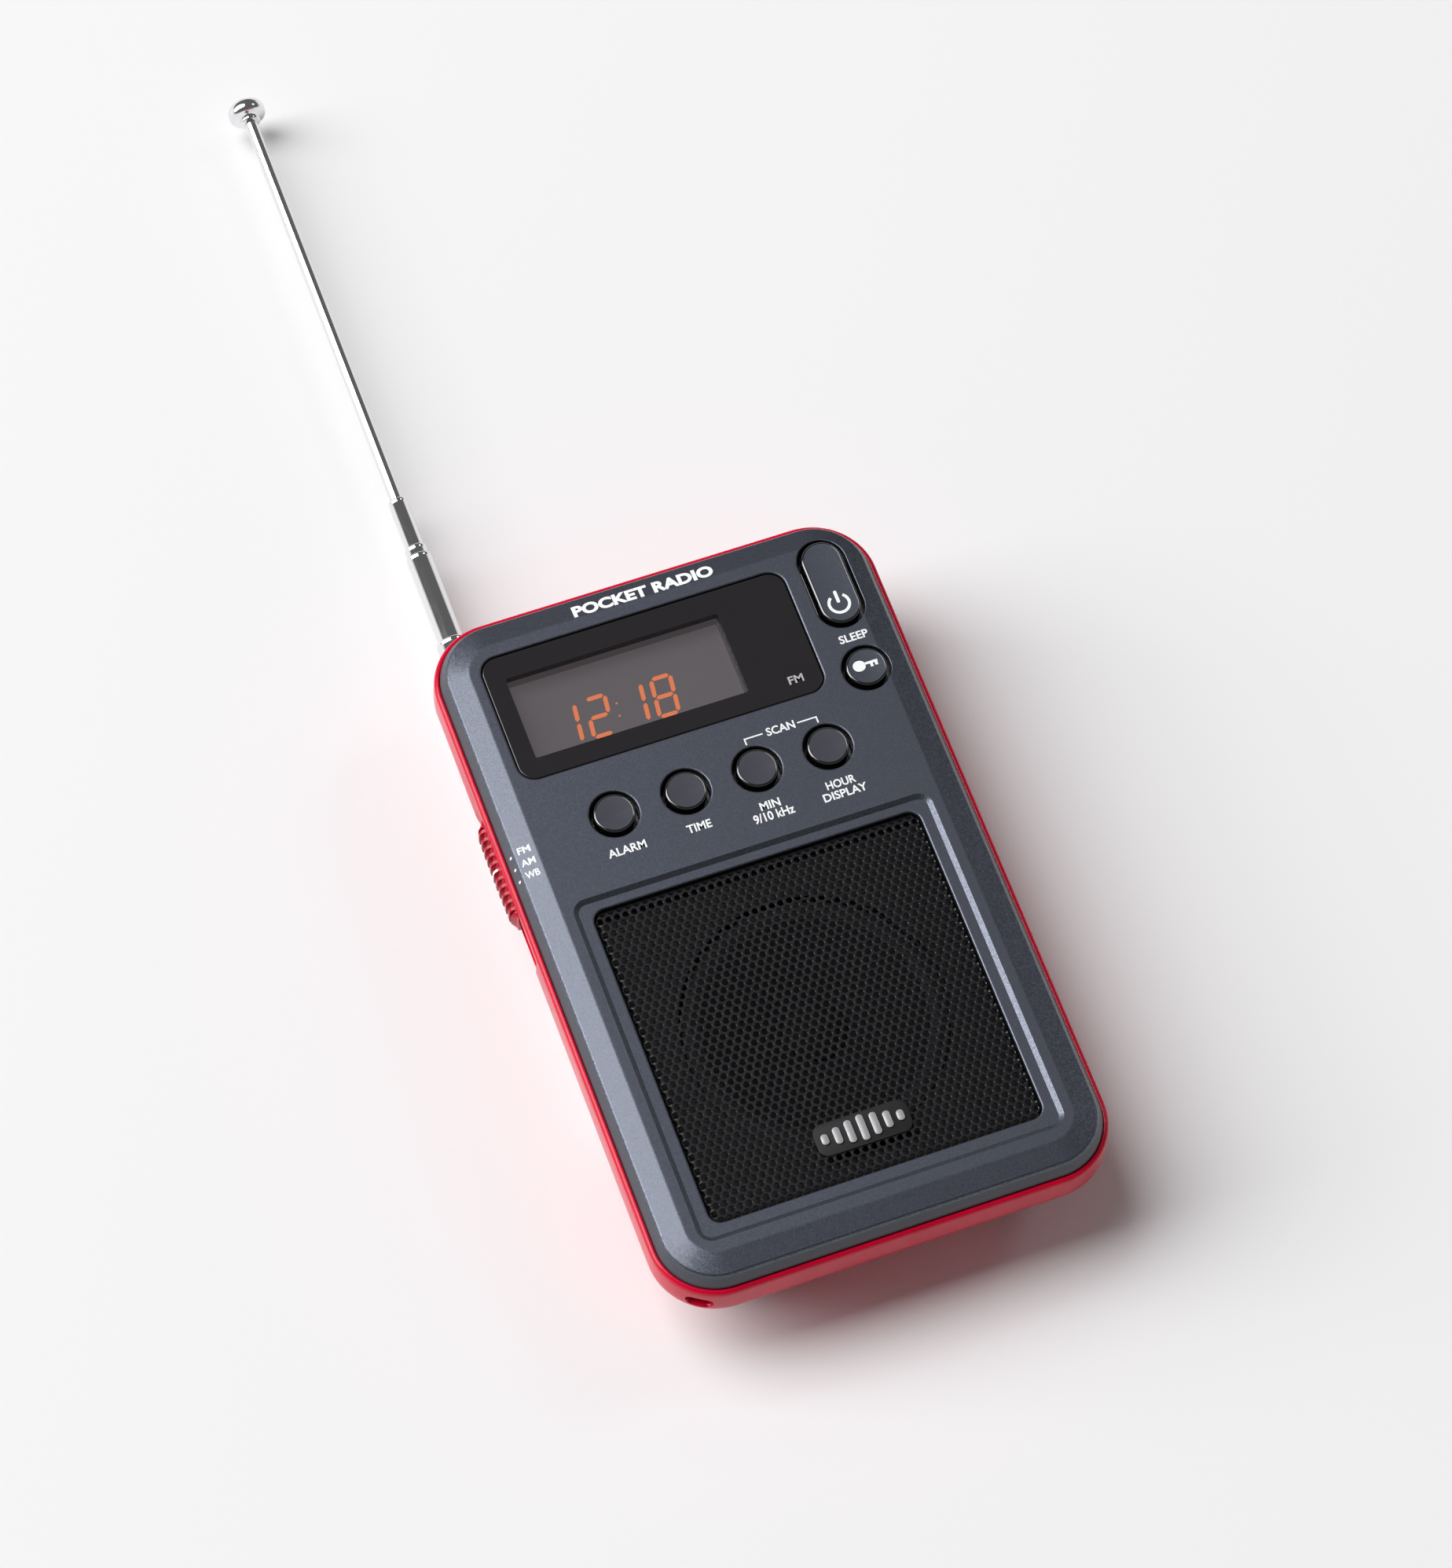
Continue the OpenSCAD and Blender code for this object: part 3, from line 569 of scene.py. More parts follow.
def front_case():
    """Painted shell: steep rim, gentle band, flat face, sunk grille border, holes."""
    bend = [EDGE_LEAN + 0.03 * k for k in range(-8, 9)]
    crease = [SLOPE_END + 0.07 * k for k in range(-3, 4)]
    steps = [LEDGE_IN - 0.02, LEDGE_IN + 0.02, RIB_IN - 0.02, RIB_IN + 0.02]
    rim = [grown(RIM, -d) for d in sorted([0.3, 1.3] + bend + crease + steps)]
    border = [grown(BORDER, -BORDER_SLOPE * t) for t in (-0.08, 0, 0.08, 0.5, 0.92, 1, 1.08)]
    holes = []
    for hole in FACE_HOLES:
        holes += [grown(hole, d) for d in (0.02, 0.06, 0.12, 0.2, 0.3)]
    points, faces, kinds = slab(RIM, FACE_HOLES, rim + border + holes, face_height, under_height)
    for k, face in enumerate(faces):
        if kinds[k] != 0:
            outer = all(abs(depth(points[i][0], points[i][1], RIM)) < 0.01 for i in face)
            kinds[k] = 1 if outer else 2
        elif max(depth(points[i][0], points[i][1], RIM) for i in face) < EDGE_LEAN - 0.2:
            kinds[k] = 1
    add("front_shell", (points, faces, kinds), "front_shell rim_grey inner_black", "case",
        "front_case")


def level(z):
    return lambda x, y: z


def front_inside():
    """Shelf under the window, baffle behind the grille, and a wall round the grille opening between the face and
    the baffle.
    """
    view_hole = (VIEW[0] + 1.6, VIEW[1] + 1.6, 1.0, VIEW_AT)
    shelf = (WINDOW[0] + 1.8, WINDOW[1] + 1.4, 2.0, WINDOW[3])
    baffle = (OPENING[0] + 4, OPENING[1] + 4, 2.0, GRILLE_AT)
    cone_hole = (36, 36, 18, GRILLE_AT)
    parts = [slab(shelf, [view_hole], [], level(UNDER_PLATE - 0.02), level(RIB_Z)),
             slab(baffle, [cone_hole], [], level(BAFFLE_Z[1]), level(BAFFLE_Z[0])),
             slab(baffle, [(OPENING[0], OPENING[1], 1.75, GRILLE_AT)], [],
                  level(UNDER_PLATE - 0.02), level(BAFFLE_Z[1] + 0.02))]
    add("front_inside", joined(parts), "inner_black", "case", "front_case")


# ---- display

def display():
    """Black glossy surround, clear pane over the display, and the frame round the grey cell."""
    lens = (LENS_W, LENS_L, 2.35, WINDOW[3])

    def top(x, y):
        return LENS_TOP - rounded_drop(depth(x, y, lens), 0.15)

    rings = [grown(lens, -d) for d in (0.03, 0.08, 0.15, 0.3)]
    surround = slab(lens, [VIEW], rings, top, level(LENS_FOOT))
    add("window_surround", surround, "window", "case", "display_lens")
    pane = slab(VIEW, [], [], level(LENS_TOP), level(LENS_FOOT + 0.1))
    add("window_pane", pane, "pane", "case", "display_lens")
    sleeve = (VIEW[0] + 1.4, VIEW[1] + 1.4, 0.8, VIEW_AT)
    around = slab(sleeve, [VIEW], [], level(LENS_FOOT - 0.02), level(LCD_TOP + 0.02))
    add("display_frame", around, "display_frame", "case")


SEGMENTS = {"1": "bc", "2": "abged", "8": "abcdefg"}
DIGIT_W = 3.3
DIGIT_H = 6.3
STROKE = 0.6
SLANT = 0.12


def bar(a, b, width):
    """Pointed bar between two places, as an outline."""
    a, b = Vector(a), Vector(b)
    along = (b - a).normalized()
    side = Vector((-along.y, along.x)) * width / 2
    tip = along * width / 2
    return [tuple(p) for p in (a, a + tip - side, b - tip - side, b, b - tip + side, a + tip + side)]


def digit(text, x0, y0):
    """Seven-bar digit, leaning to the right."""
    w, h, gap = DIGIT_W - STROKE, (DIGIT_H - STROKE) / 2, 0.14
    corner = {"a": ((0, 2 * h), (w, 2 * h)), "b": ((w, 2 * h), (w, h)), "c": ((w, h), (w, 0)),
              "d": ((0, 0), (w, 0)), "e": ((0, h), (0, 0)), "f": ((0, 2 * h), (0, h)),
              "g": ((0, h), (w, h))}
    parts = []
    for name in SEGMENTS[text]:
        a, b = (Vector(p) for p in corner[name])
        along = (b - a).normalized() * gap
        ring = [(x0 + x + SLANT * y, y0 + y) for x, y in bar(a + along, b - along, STROKE)]
        parts.append(prism(ring, LCD_TOP + 0.01, LCD_TOP + 0.06))
    return parts


def display_digits():
    """A time of day, as the cell shows it."""
    x0, y0 = VIEW_AT[0] - 10.55, VIEW_AT[1] - 4.55
    parts = []
    for text, dx in (("1", 0), ("2", 4.35), ("1", 9.45), ("8", 13.7)):
        parts += digit(text, x0 + dx, y0)
    for dy in (2.0, 3.9):
        parts.append(prism(outline(0.28, 0.28, 0.12, (x0 + 8.4 + SLANT * dy, y0 + dy), 4),
                           LCD_TOP + 0.01, LCD_TOP + 0.06))
    add("display_digits", joined(parts), "digits", "case", smooth=0)


# ---- grille and badge

HOLE_PITCH = 1.2
HOLE_D = 1.0
HOLE_BEVEL = 0.08
SHEET_T = 0.45
FOLD_R = 0.55
FOLD_DROP = 1.3


def fold(v, half, down):
    """Place across a sheet and its fall where the sheet bends over at half; down is the depth
    below the outer skin."""
    flat = half - FOLD_R
    s = abs(v) - flat
    r = FOLD_R - down
    if s <= 0:
        return v, 0.0
    if s < FOLD_R * math.pi / 2:
        a = s / FOLD_R
        return math.copysign(flat + r * math.sin(a), v), FOLD_R - down - r * math.cos(a)
    return math.copysign(flat + r, v), FOLD_R - down + s - FOLD_R * math.pi / 2


def grille():
    """Pressed sheet with staggered holes; its edges are folded down."""
    row = HOLE_PITCH * math.sqrt(3) / 2
    half_x = (GRILLE_HI[0] - GRILLE_LO[0]) / 2
    half_y = (GRILLE_HI[1] - GRILLE_LO[1]) / 2
    reach_x = half_x + FOLD_DROP
    reach_y = half_y + FOLD_DROP
    sides = 10
    hexagon = [(math.cos(math.radians(30 + 60 * i)) * HOLE_PITCH / math.sqrt(3),
                math.sin(math.radians(30 + 60 * i)) * HOLE_PITCH / math.sqrt(3)) for i in range(6)]
    round_hole = [(math.cos(math.tau * i / sides), math.sin(math.tau * i / sides)) for i in range(sides)]
    circle = [(c * HOLE_D / 2, s * HOLE_D / 2) for c, s in round_hole]
    throat = [(c * (HOLE_D / 2 - HOLE_BEVEL), s * (HOLE_D / 2 - HOLE_BEVEL)) for c, s in round_hole]
    cell = delaunay_2d_cdt([Vector(p) for p in hexagon + circle],
                           [(6 + i, 6 + (i + 1) % sides) for i in range(sides)], [], 0, 1e-7)
    web = []
    for t in cell[2]:
        centre = sum((cell[0][i] for i in t), Vector((0, 0))) / 3
        if centre.length > HOLE_D * 0.48:
            web.append(tuple(t))
    index = {}
    points = []
    faces = []

    def corner(x, y, down):
        key = (round(x, 3), round(y, 3), down)
        if key not in index:
            index[key] = len(points)
            fx, drop_x = fold(x, half_x, down)
            fy, drop_y = fold(y, half_y, down)
            points.append((fx, GRILLE_AT[1] + fy, GRILLE_TOP - down - drop_x - drop_y))
        return index[key]

    rows = int(reach_y / row)
    columns = int(reach_x / HOLE_PITCH) + 1
    for j in range(-rows, rows + 1):
        for i in range(-columns, columns + 1):
            x = (i + (0.5 if j % 2 else 0)) * HOLE_PITCH
            y = j * row
            if abs(x) > reach_x - 0.6 or abs(y) > reach_y - 0.6:
                continue
            if abs(x) > half_x - FOLD_R and abs(y) > half_y - FOLD_R:
                continue
            top = [corner(x + p[0], y + p[1], 0.0) for p in cell[0]]
            low = [corner(x + p[0], y + p[1], SHEET_T) for p in cell[0]]
            faces += [tuple(top[k] for k in t) for t in web]
            faces += [tuple(low[k] for k in reversed(t)) for t in web]
            inner = [corner(x + p[0], y + p[1], HOLE_BEVEL) for p in throat]
            for a in range(sides):
                b = (a + 1) % sides
                faces.append((top[6 + a], top[6 + b], inner[b], inner[a]))
                faces.append((inner[a], inner[b], low[6 + b], low[6 + a]))
    edges = {edge for f in faces for edge in zip(f, f[1:] + f[:1])}
    below = {v: index.get((x, y, SHEET_T)) for (x, y, down), v in index.items() if down == 0.0}
    for a, b in sorted(edges):
        if (b, a) not in edges and a in below and b in below:
            faces.append((b, a, below[a], below[b]))
    add("grille_sheet", (points, faces), "grille_metal", "case", "speaker_grille", 40)


def badge():
    """Generic mark: seven upright bars on a dark plate."""
    lo, hi = extent("grille_badge")
    at = tuple(((lo + hi) / 2)[:2])
    plate = closed_block((hi[0] - lo[0], hi[1] - lo[1], 1.4, at), lo[2] + 0.01, lo[2] + 0.22, 0.06)
    add("badge_plate", plate, "badge_plate", "case", "grille_badge")
    bars = []
    for i, height in enumerate((1.5, 2.4, 3.2, 3.7, 3.2, 2.4, 1.5)):
        shape = (1.0, height, 0.45, (at[0] + (i - 3) * 1.74, at[1]))
        bars.append(closed_block(shape, lo[2] + 0.23, hi[2], 0.08, 6))
    add("badge_bars", joined(bars), "silver", "case", "grille_badge")


# ---- rear case

PROFILE_Z = (0, 0.5, 1.5, 3, 10.6, 11.6, 12.8, 14.5, 16.6, 17.2, 17.6)
PROFILE_IN = (8.6, 7.7, 6.6, 5.5, 1.1, 0.45, 0, 0, 0.08, 0.14, 0.3)
BACK_WALL = 2.4
TUB_TOP = 16.6
REBATE_X = -22.0
REBATE_TOP = 7.9
DOOR_W = 25.2
RECESS = 0.7
RECESS_Y = (KNOB[1] - 13.6, KNOB[1] + 9.2)
RECESS_Z = (11.6, 16.3)
STRAP_ANGLE = 238
SCREWS = [(-17.5, 8.0), (17.5, 8.0), (-18.5, -45.5), (18.5, -45.5)]
SCREW_SEAT = (7.5, 8.5)
SCREW_BORE = 2.3
WHEEL_LO, WHEEL_HI = extent("volume_wheel")
WHEEL_Z = (WHEEL_LO[2], WHEEL_LO[2] + 2.5)
WHEEL_SLOT_R = 8.45
BAY = (22.7, 49.6, 0.4, (0, 16.2))
BAY_WALL = 1.2
SLOT_Z = (13.4, 15.3)
JACK_HOLE_R = 3.0


def side_inset(z):
    """Inset of the rear case from its widest outline, with the bends softened."""
    reach = min(0.5, z, TUB_TOP - z) if z < TUB_TOP else 0
    samples = [np.interp(z + reach * k / 3, PROFILE_Z, PROFILE_IN) for k in range(-3, 4)]
    return float(sum(samples)) / len(samples)


def screw_seat(at):
    """Height at which the head of the case screw at a place rests."""
    return SCREW_SEAT[0] if at[1] > 0 else SCREW_SEAT[1]


def case_ring(inset, z, follow=0.4, steps=18):
    return at_height(outline(BODY_W - 2 * inset, BODY_L - 2 * inset, CORNER_R - follow * inset,
                             steps=steps), z)


def strap_corner(u, v, z):
    """Place in the frame of the strap corner: u outwards, v along the outline."""
    a = math.radians(STRAP_ANGLE)
    cx = -(BODY_W / 2 - CORNER_R)
    cy = -(BODY_L / 2 - CORNER_R)
    return cx + u * math.cos(a) - v * math.sin(a), cy + u * math.sin(a) + v * math.cos(a), z


def strap_tunnel(depth_in, half_v, z0, z1):
    """Long opening at the strap corner that flares softly towards the outside."""
    rings = []
    for u, flare in ((-depth_in, 0.0), (-0.7, 0.0), (-0.35, 0.06), (-0.1, 0.2), (0.1, 0.4), (2.0, 2.6)):
        shape = (2 * half_v, z1 - z0, (z1 - z0) / 2 - 0.05, (0, (z0 + z1) / 2))
        rings.append([strap_corner(CORNER_R + u, v, z) for v, z in grown(shape, flare, 8)])
    return loft(rings)


def recess_cutter():
    """Recess for the side switch, with a ramp at each end."""
    x = REAR_LO[0]
    deep = x + RECESS
    y0, y1 = RECESS_Y
    ring = [(x - 3, y0 - 1), (deep - RECESS, y0 - 1.0), (deep - 0.1, y0 + 0.7), (deep, y0 + 1.2),
            (deep, y1 - 1.2), (deep - 0.1, y1 - 0.7), (deep - RECESS, y1 + 1.0), (x - 3, y1 + 1)]
    return prism(ring, *RECESS_Z)


def rear_case():
    """Glossy tub with a rounded lip, cut for switch, strap, wheel, jack, aerial and door."""
    heights = [TUB_TOP * (k / 43) for k in range(44)]
    rings = [case_ring(side_inset(z), z) for z in heights]
    for inset, z, follow in ((0.1, 16.9, 0.4), (0.14, 17.15, 0.5), (0.22, 17.35, 0.6),
                             (0.36, 17.5, 0.8), (0.55, 17.58, 1), (0.72, 17.58, 1),
                             (0.83, 17.53, 1), (0.9, 17.4, 1), (0.91, 15.88, 1),
                             (1.98, 15.86, 0.9), (2.02, 13.0, 0.9), (2.5, 11.4, 0.8),
                             (3.3, 10.2, 0.7), (7.4, BACK_WALL, 0.6)):
        rings.append(case_ring(inset, z, follow))
    shell = make_mesh("rear_shell", *loft(rings))
    slot_ends = (KNOB[1] - 2 * STEPS - 2.3, KNOB[1] + 2.3)
    wheel_slot = [(WHEEL_SLOT_R, WHEEL_Z[0] - 0.3), (WHEEL_SLOT_R, WHEEL_Z[1] + 0.3)]
    cutters = [recess_cutter(), rebate_cutter(AERIAL[1] - 6),
               box_cutter((-33, slot_ends[0], SLOT_Z[0]), (-27, slot_ends[1], SLOT_Z[1])),
               strap_tunnel(4.4, 1.75, 13.5, 15.5), turned(wheel_slot, upright(WHEEL)),
               turned([(JACK_HOLE_R, 24), (JACK_HOLE_R, 36)], sideways(JACK), 48),
               door_cutter(), door_groove()]
    cutters += [turned([(SCREW_BORE, -1), (SCREW_BORE, screw_seat(at))], upright(at), 40)
                for at in SCREWS]
    add("rear_shell", cleaned(cut(shell, cutters), "rear_shell", 32), "rear_shell", "case",
        "rear_case")
    rear_inside()


def rear_inside():
    """Screw posts, cut down to the inside of the tub, and the walls of the battery bay."""
    post = [(3.3, 0.9), (3.3, 9.95), (2.31, 9.95), (2.31, 0.9)]
    parts = [turned_ring(post, upright(at), 40) for at in SCREWS]
    hollow = [case_ring(side_inset(z) + 0.6, z) for z in (0.9, 1.5, 3, 5, 7, 9, 10.6, 12)]
    posts = cut(make_mesh("posts", *joined(parts)), [loft(hollow)], "INTERSECT")
    posts.materials.clear()
    add("screw_posts", posts, "rear_shell", "case", "rear_case")
    outer = (BAY[0] + 2 * BAY_WALL, BAY[1] + 2 * BAY_WALL, 1.0, BAY[3])
    walls = slab(outer, [BAY], [], level(11.8), level(BACK_WALL - 0.3))
    add("bay_walls", walls, "rear_shell", "case", "rear_case")


def rebate_cutter(low_y):
    """Step along the back edge that the aerial lies in, with a rounded inner corner."""
    ring = [(-40, -1), (REBATE_X, -1), (REBATE_X, REBATE_TOP - 0.6),
            (REBATE_X - 0.18, REBATE_TOP - 0.18), (REBATE_X - 0.6, REBATE_TOP), (-40, REBATE_TOP)]
    front = [(x, low_y, z) for x, z in ring]
    back = [(x, 60, z) for x, z in ring]
    points, faces, kinds = loft([front, back])
    return points, [tuple(reversed(f)) for f in faces], kinds


def door_cutter():
    lo, hi = extent("battery_door")
    return box_cutter((-DOOR_W / 2 - 0.15, lo[1] - 0.15, -1), (DOOR_W / 2 + 0.15, 60, hi[2] + 0.1))


def door_groove():
    lo, hi = extent("battery_door")
    return box_cutter((lo[0] - 0.15, lo[1] - 0.15, 0.6), (hi[0] + 0.15, 60, hi[2] + 0.1))


# ---- buttons

def key_cap(node, body):
    """Black cap with a rounded edge and a painted flat on top."""
    straight, at = key_shape(node)
    lo, hi = extent(node)
    top = hi[2]
    radius = (KEY_CAP - KEY_FLAT) / 2
    base = (KEY_CAP, KEY_CAP + straight, KEY_CAP / 2, at)
    flange = (KEY_FLANGE - KEY_CAP) / 2
    profile = [(flange, lo[2]), (flange, lo[2] + 0.6), (0, lo[2] + 0.62), (0, top - radius)]
    for k in range(1, 8):
        a = math.radians(90 * k / 7)
        profile.append((-radius * (1 - math.cos(a)), top - radius + (radius - 0.02) * math.sin(a)))
    profile += [(-radius - 0.03, top - 0.035), (-radius - 0.12, top - 0.04)]
    rings = [layer(base, by, z, 20) for by, z in profile]
    shape = loft(rings, kinds=[0] * (len(rings) - 2) + [1], cap_kinds=(0, 1))
    painted = node in ("power_button", "lock_button")
    add(node + "_cap", shape, "key_black " + ("key_paint" if painted else "key_top"), body,
        node)
    return top - 0.04


# ---- printing

PRINT_T = 0.02


def print_on(name, parts, height, body, material="print"):
    """Thin raised print made of flat closed shapes laid on a height function."""
    points, faces, kinds = joined(parts)
    points = [(x, y, height(x, y) + (PRINT_T if z > 0 else -PRINT_T)) for x, y, z in points]
    add(name, (points, faces, kinds), material, body, smooth=0)


def flat_shape(ring):
    """Closed shape of an outline, between the heights -1 and 1."""
    return prism(ring, -1, 1)


def lettering(text, at, size, bold=0.022):
    """Letters in the built-in font, fitted to (width, height) around a middle."""
    curve = bpy.data.curves.new("letters", "FONT")
    curve.body = text
    curve.offset = bold
    curve.extrude = 0.05
    curve.resolution_u = 4
    holder = put("letters", curve)
    mesh = evaluated(holder)
    bpy.data.objects.remove(holder)
    places = np.array([v.co for v in mesh.vertices])
    faces = [tuple(p.vertices) for p in mesh.polygons]
    bpy.data.meshes.remove(mesh)
    low, high = places.min(0), places.max(0)
    scale = np.array(size) / (high - low)[:2]
    flat = (places[:, :2] - (low[:2] + high[:2]) / 2) * scale
    points = [(at[0] + x, at[1] + y, 1 if z > 0 else -1) for (x, y), z in zip(flat, places[:, 2])]
    return points, faces, [0] * len(faces)


def bracket(x0, x1, y0, y1, thick=0.2):
    """Corner line: from (x0, y0) up to y1 and across to x1."""
    tall = y1 - y0 - thick / 2
    upright_part = outline(thick, tall, 0.02, (x0, y0 + tall / 2), 2)
    across = outline(abs(x1 - x0) + thick, thick, 0.02, ((x0 + x1) / 2, y1), 2)
    return [flat_shape(upright_part), flat_shape(across)]


def labels():
    """Words beside the buttons, the generic title and the band marks."""
    row = [key_shape(n)[1] for n in ("alarm_button", "time_button", "scan_down_button",
                                     "scan_up_button")]
    lock = key_shape("lock_button")[1]
    cap = 1.22
    parts = []
    for text, at, dx, dy, wide, tall in (
            ("ALARM", row[0], -0.15, -5.4, 5.3, cap), ("TIME", row[1], -0.1, -5.42, 3.4, cap),
            ("MIN", row[2], -0.2, -5.48, 2.8, cap), ("9/10 kHz", row[2], -0.2, -7.05, 5.7, cap * 1.12),
            ("HOUR", row[3], -0.25, -5.52, 4.1, cap), ("DISPLAY", row[3], -0.2, -7.12, 6.15, cap),
            ("SCAN", ((row[2][0] + row[3][0]) / 2, row[2][1]), 0, 4.65, 4.0, cap),
            ("SLEEP", lock, 0, 4.95, 4.1, cap)):
        parts.append(lettering(text, (at[0] + dx, at[1] + dy), (wide, tall)))
    parts += bracket(row[2][0] - 0.1, row[2][0] + 2.4, row[2][1] + 3.75, row[2][1] + 4.65)
    parts += bracket(row[3][0] + 0.05, row[3][0] - 2.55, row[3][1] + 3.75, row[3][1] + 4.65)
    parts.append(lettering("POCKET RADIO", (-0.4, RIM_L / 2 - 2.9), (20.1, 1.85), bold=0.045))
    for k, text in enumerate(("FM", "AM", "WB")):
        y = KNOB[1] - k * STEPS
        parts.append(lettering(text, (RIM_LO[0] + 2.35, y - 0.15), (1.95 if k else 1.75, 1.0)))
        dot = outline(0.24, 0.34, 0.12, (RIM_LO[0] + 0.5, y - 0.3), 6)
        parts.append(flat_shape(dot))
    print_on("face_print", parts, face_height, "case")
    at = (WINDOW[3][0] + 17.95, WINDOW[3][1] - 6.85)
    print_on("window_print", [lettering("FM", at, (2.1, 1.2))], level(LENS_TOP), "case",
             "print_grey")


def icons(tops):
    """Power sign and key sign on their caps."""
    at = key_shape("power_button")[1]
    ring_at = (at[0] - 0.1, at[1] - 3.43)
    parts = [band_shape(ring_at, 1.18, 1.6, 128, 412),
             flat_shape(outline(0.46, 1.9, 0.2, (ring_at[0], ring_at[1] + 1.05), 6))]
    print_on("power_sign", parts, level(tops["power_button"]), "power_key")
    at = key_shape("lock_button")[1]
    parts = []
    for w, l, r, dx, dy, steps in ((1.75, 1.6, 0.8, -0.95, 0.3, 8), (1.82, 0.36, 0.05, 0.79, 0.42, 3),
                                   (0.4, 0.52, 0.04, 0.75, -0.02, 3), (0.4, 0.46, 0.04, 1.42, 0.01, 3)):
        parts.append(flat_shape(outline(w, l, r, (at[0] + dx, at[1] + dy), steps)))
    print_on("key_sign", parts, level(tops["lock_button"]), "lock_key")


def band_shape(at, inner, outer, a0, a1, steps=40):
    """Closed ring sector made of quads, between the heights -1 and 1."""
    rings = []
    for i in range(steps + 1):
        a = math.radians(a0 + (a1 - a0) * i / steps)
        c, s = math.cos(a), math.sin(a)
        rings.append([(at[0] + r * c, at[1] + r * s, z)
                      for r, z in ((inner, -1), (outer, -1), (outer, 1), (inner, 1))])
    points, faces, kinds = loft(rings)
    return points, [tuple(reversed(f)) for f in faces], kinds


# ---- side switch, wheel, jack, strap pin

KNOB_L = 15.2
KNOB_H = 4.0
KNOB_PROUD = 0.95
RIB_PITCH = 1.2
RIB_W = 0.4
RIB_DEPTH = 0.75


def knob_height(y):
    """How far the knob stands out at a place along it, with its ribs."""
    ends = smooth_step((KNOB_L / 2 - abs(y)) / 1.3)
    off_rib = abs((y / RIB_PITCH + 0.5) % 1 - 0.5) * RIB_PITCH
    gap = smooth_step((off_rib - RIB_W / 2) / 0.12) if abs(y) < 5.5 * RIB_PITCH else 0.0
    crown = 0.12 * (y / (KNOB_L / 2)) ** 2
    return (KNOB_PROUD - crown) * ends - RIB_DEPTH * gap * ends


def band_knob():
    """Slider with ribs across it and a white line on the middle rib."""
    rows = 16
    columns = 304
    base = KNOB[0] + RECESS - 0.16
    rings = []
    for i in range(columns + 1):
        y = KNOB_L * (i / columns - 0.5)
        tall = knob_height(y)
        half = KNOB_H / 2 - 0.25 * rounded_drop(KNOB_L / 2 - abs(y), 0.5)
        ring = [(base, KNOB[1] + y, KNOB[2] - half)]
        for k in range(rows + 1):
            t = 2 * k / rows - 1
            soft = (1 - abs(t) ** 5)
            side = 0.3 + 0.7 * soft if tall > 0 else 1
            ring.append((KNOB[0] - max(tall, -0.1) * side, KNOB[1] + y, KNOB[2] + t * half))
        ring.append((base, KNOB[1] + y, KNOB[2] + half))
        rings.append(ring)
    points, faces, kinds = loft(rings)
    n = len(rings[0])
    for k in range(columns * n):
        column, place = divmod(k, n)
        y = KNOB_L * ((column + 0.5) / columns - 0.5)
        kinds[k] = int(abs(y) < RIB_W / 3 and 1 < place < rows + 1)
    foot = box_cutter((base - 0.02, KNOB[1] - 1.9, KNOB[2] - 0.2), (-29.25, KNOB[1] + 1.9, KNOB[2] + 0.9))
    add("switch_knob", joined([(points, faces, kinds), foot]), "knob_red print", "band_slider",
        "band_knob", 50)


def volume_wheel():
    """Knurled thumb wheel with a hub, dished below."""
    r = (WHEEL_HI[0] - WHEEL_LO[0]) / 2
    notches = 30
    knurl = 0.42
    around = [math.tau * i / (notches * 10) for i in range(notches * 10)]
    z0, z1 = WHEEL_Z

    def ring(radius_at, z):
        return [(WHEEL[0] + radius_at(a) * math.cos(a), WHEEL[1] + radius_at(a) * math.sin(a), z)
                for a in around]

    def rim(inset, z):
        return ring(lambda a: r - inset - knurl * (1 - smooth_step(1.1 + 1.1 * math.cos(notches * a))), z)

    def circle(radius, z):
        return ring(lambda a: radius, z)

    rings = [circle(1.7, z0 + 0.61), circle(6.0, z0 + 0.6), circle(6.1, z0 + 0.5), circle(6.3, z0 + 0.05),
             circle(6.5, z0), rim(0.35, z0), rim(0.1, z0 + 0.12), rim(0, z0 + 0.35),
             rim(0, z1 - 0.35), rim(0.1, z1 - 0.12), rim(0.35, z1), circle(1.5, z1 + 0.01),
             circle(1.5, WHEEL_HI[2])]
    add("wheel_rim", loft(rings), "knob_red", "wheel", "volume_wheel")


def cross_screw(at, z0, head_r, head_t, shank_r, shank_top):
    """Pan-head screw seen from below, with a cross recess."""
    profile = [(head_r * 0.55, z0), (head_r * 0.85, z0 + 0.12), (head_r, z0 + 0.4),
               (head_r, z0 + head_t), (shank_r, z0 + head_t + 0.01), (shank_r, shank_top)]
    mesh = make_mesh("screw", *turned(profile, upright(at), 40))
    arm = head_r * 0.62
    thick = head_r * 0.2
    cutters = []
    for half_x, half_y in ((arm, thick / 2), (thick / 2, arm)):
        cutters.append(box_cutter((at[0] - half_x, at[1] - half_y, z0 - 1),
                                  (at[0] + half_x, at[1] + half_y, z0 + 0.6)))
    return cut(mesh, cutters)


def screws():
    """Case screws in their counterbores, the wheel screw and the aerial screw."""
    sets = [("case_screw_" + str(i), at, screw_seat(at) - 1.4, 1.95, 1.4, 1.0, 15.0, "case",
             "case_screws") for i, at in enumerate(SCREWS)]
    lo, hi = extent("wheel_screw")
    sets.append(("wheel_screw_head", tuple(WHEEL[:2]), lo[2], 1.6, 0.8, 0.7, hi[2], "wheel",
                 "wheel_screw"))
    lo, hi = extent("aerial_screw")
    sets.append(("aerial_screw_head", tuple(AERIAL[:2]), lo[2], 2.2, AERIAL[2] - 1.85 - lo[2], 1.2, hi[2],
                 "case", "aerial_screw"))
    for name, at, z0, head_r, head_t, shank_r, top, body, node in sets:
        mesh = cleaned(cross_screw(at, z0, head_r, head_t, shank_r, top), name, 35)
        add(name, mesh, "steel", body, node)


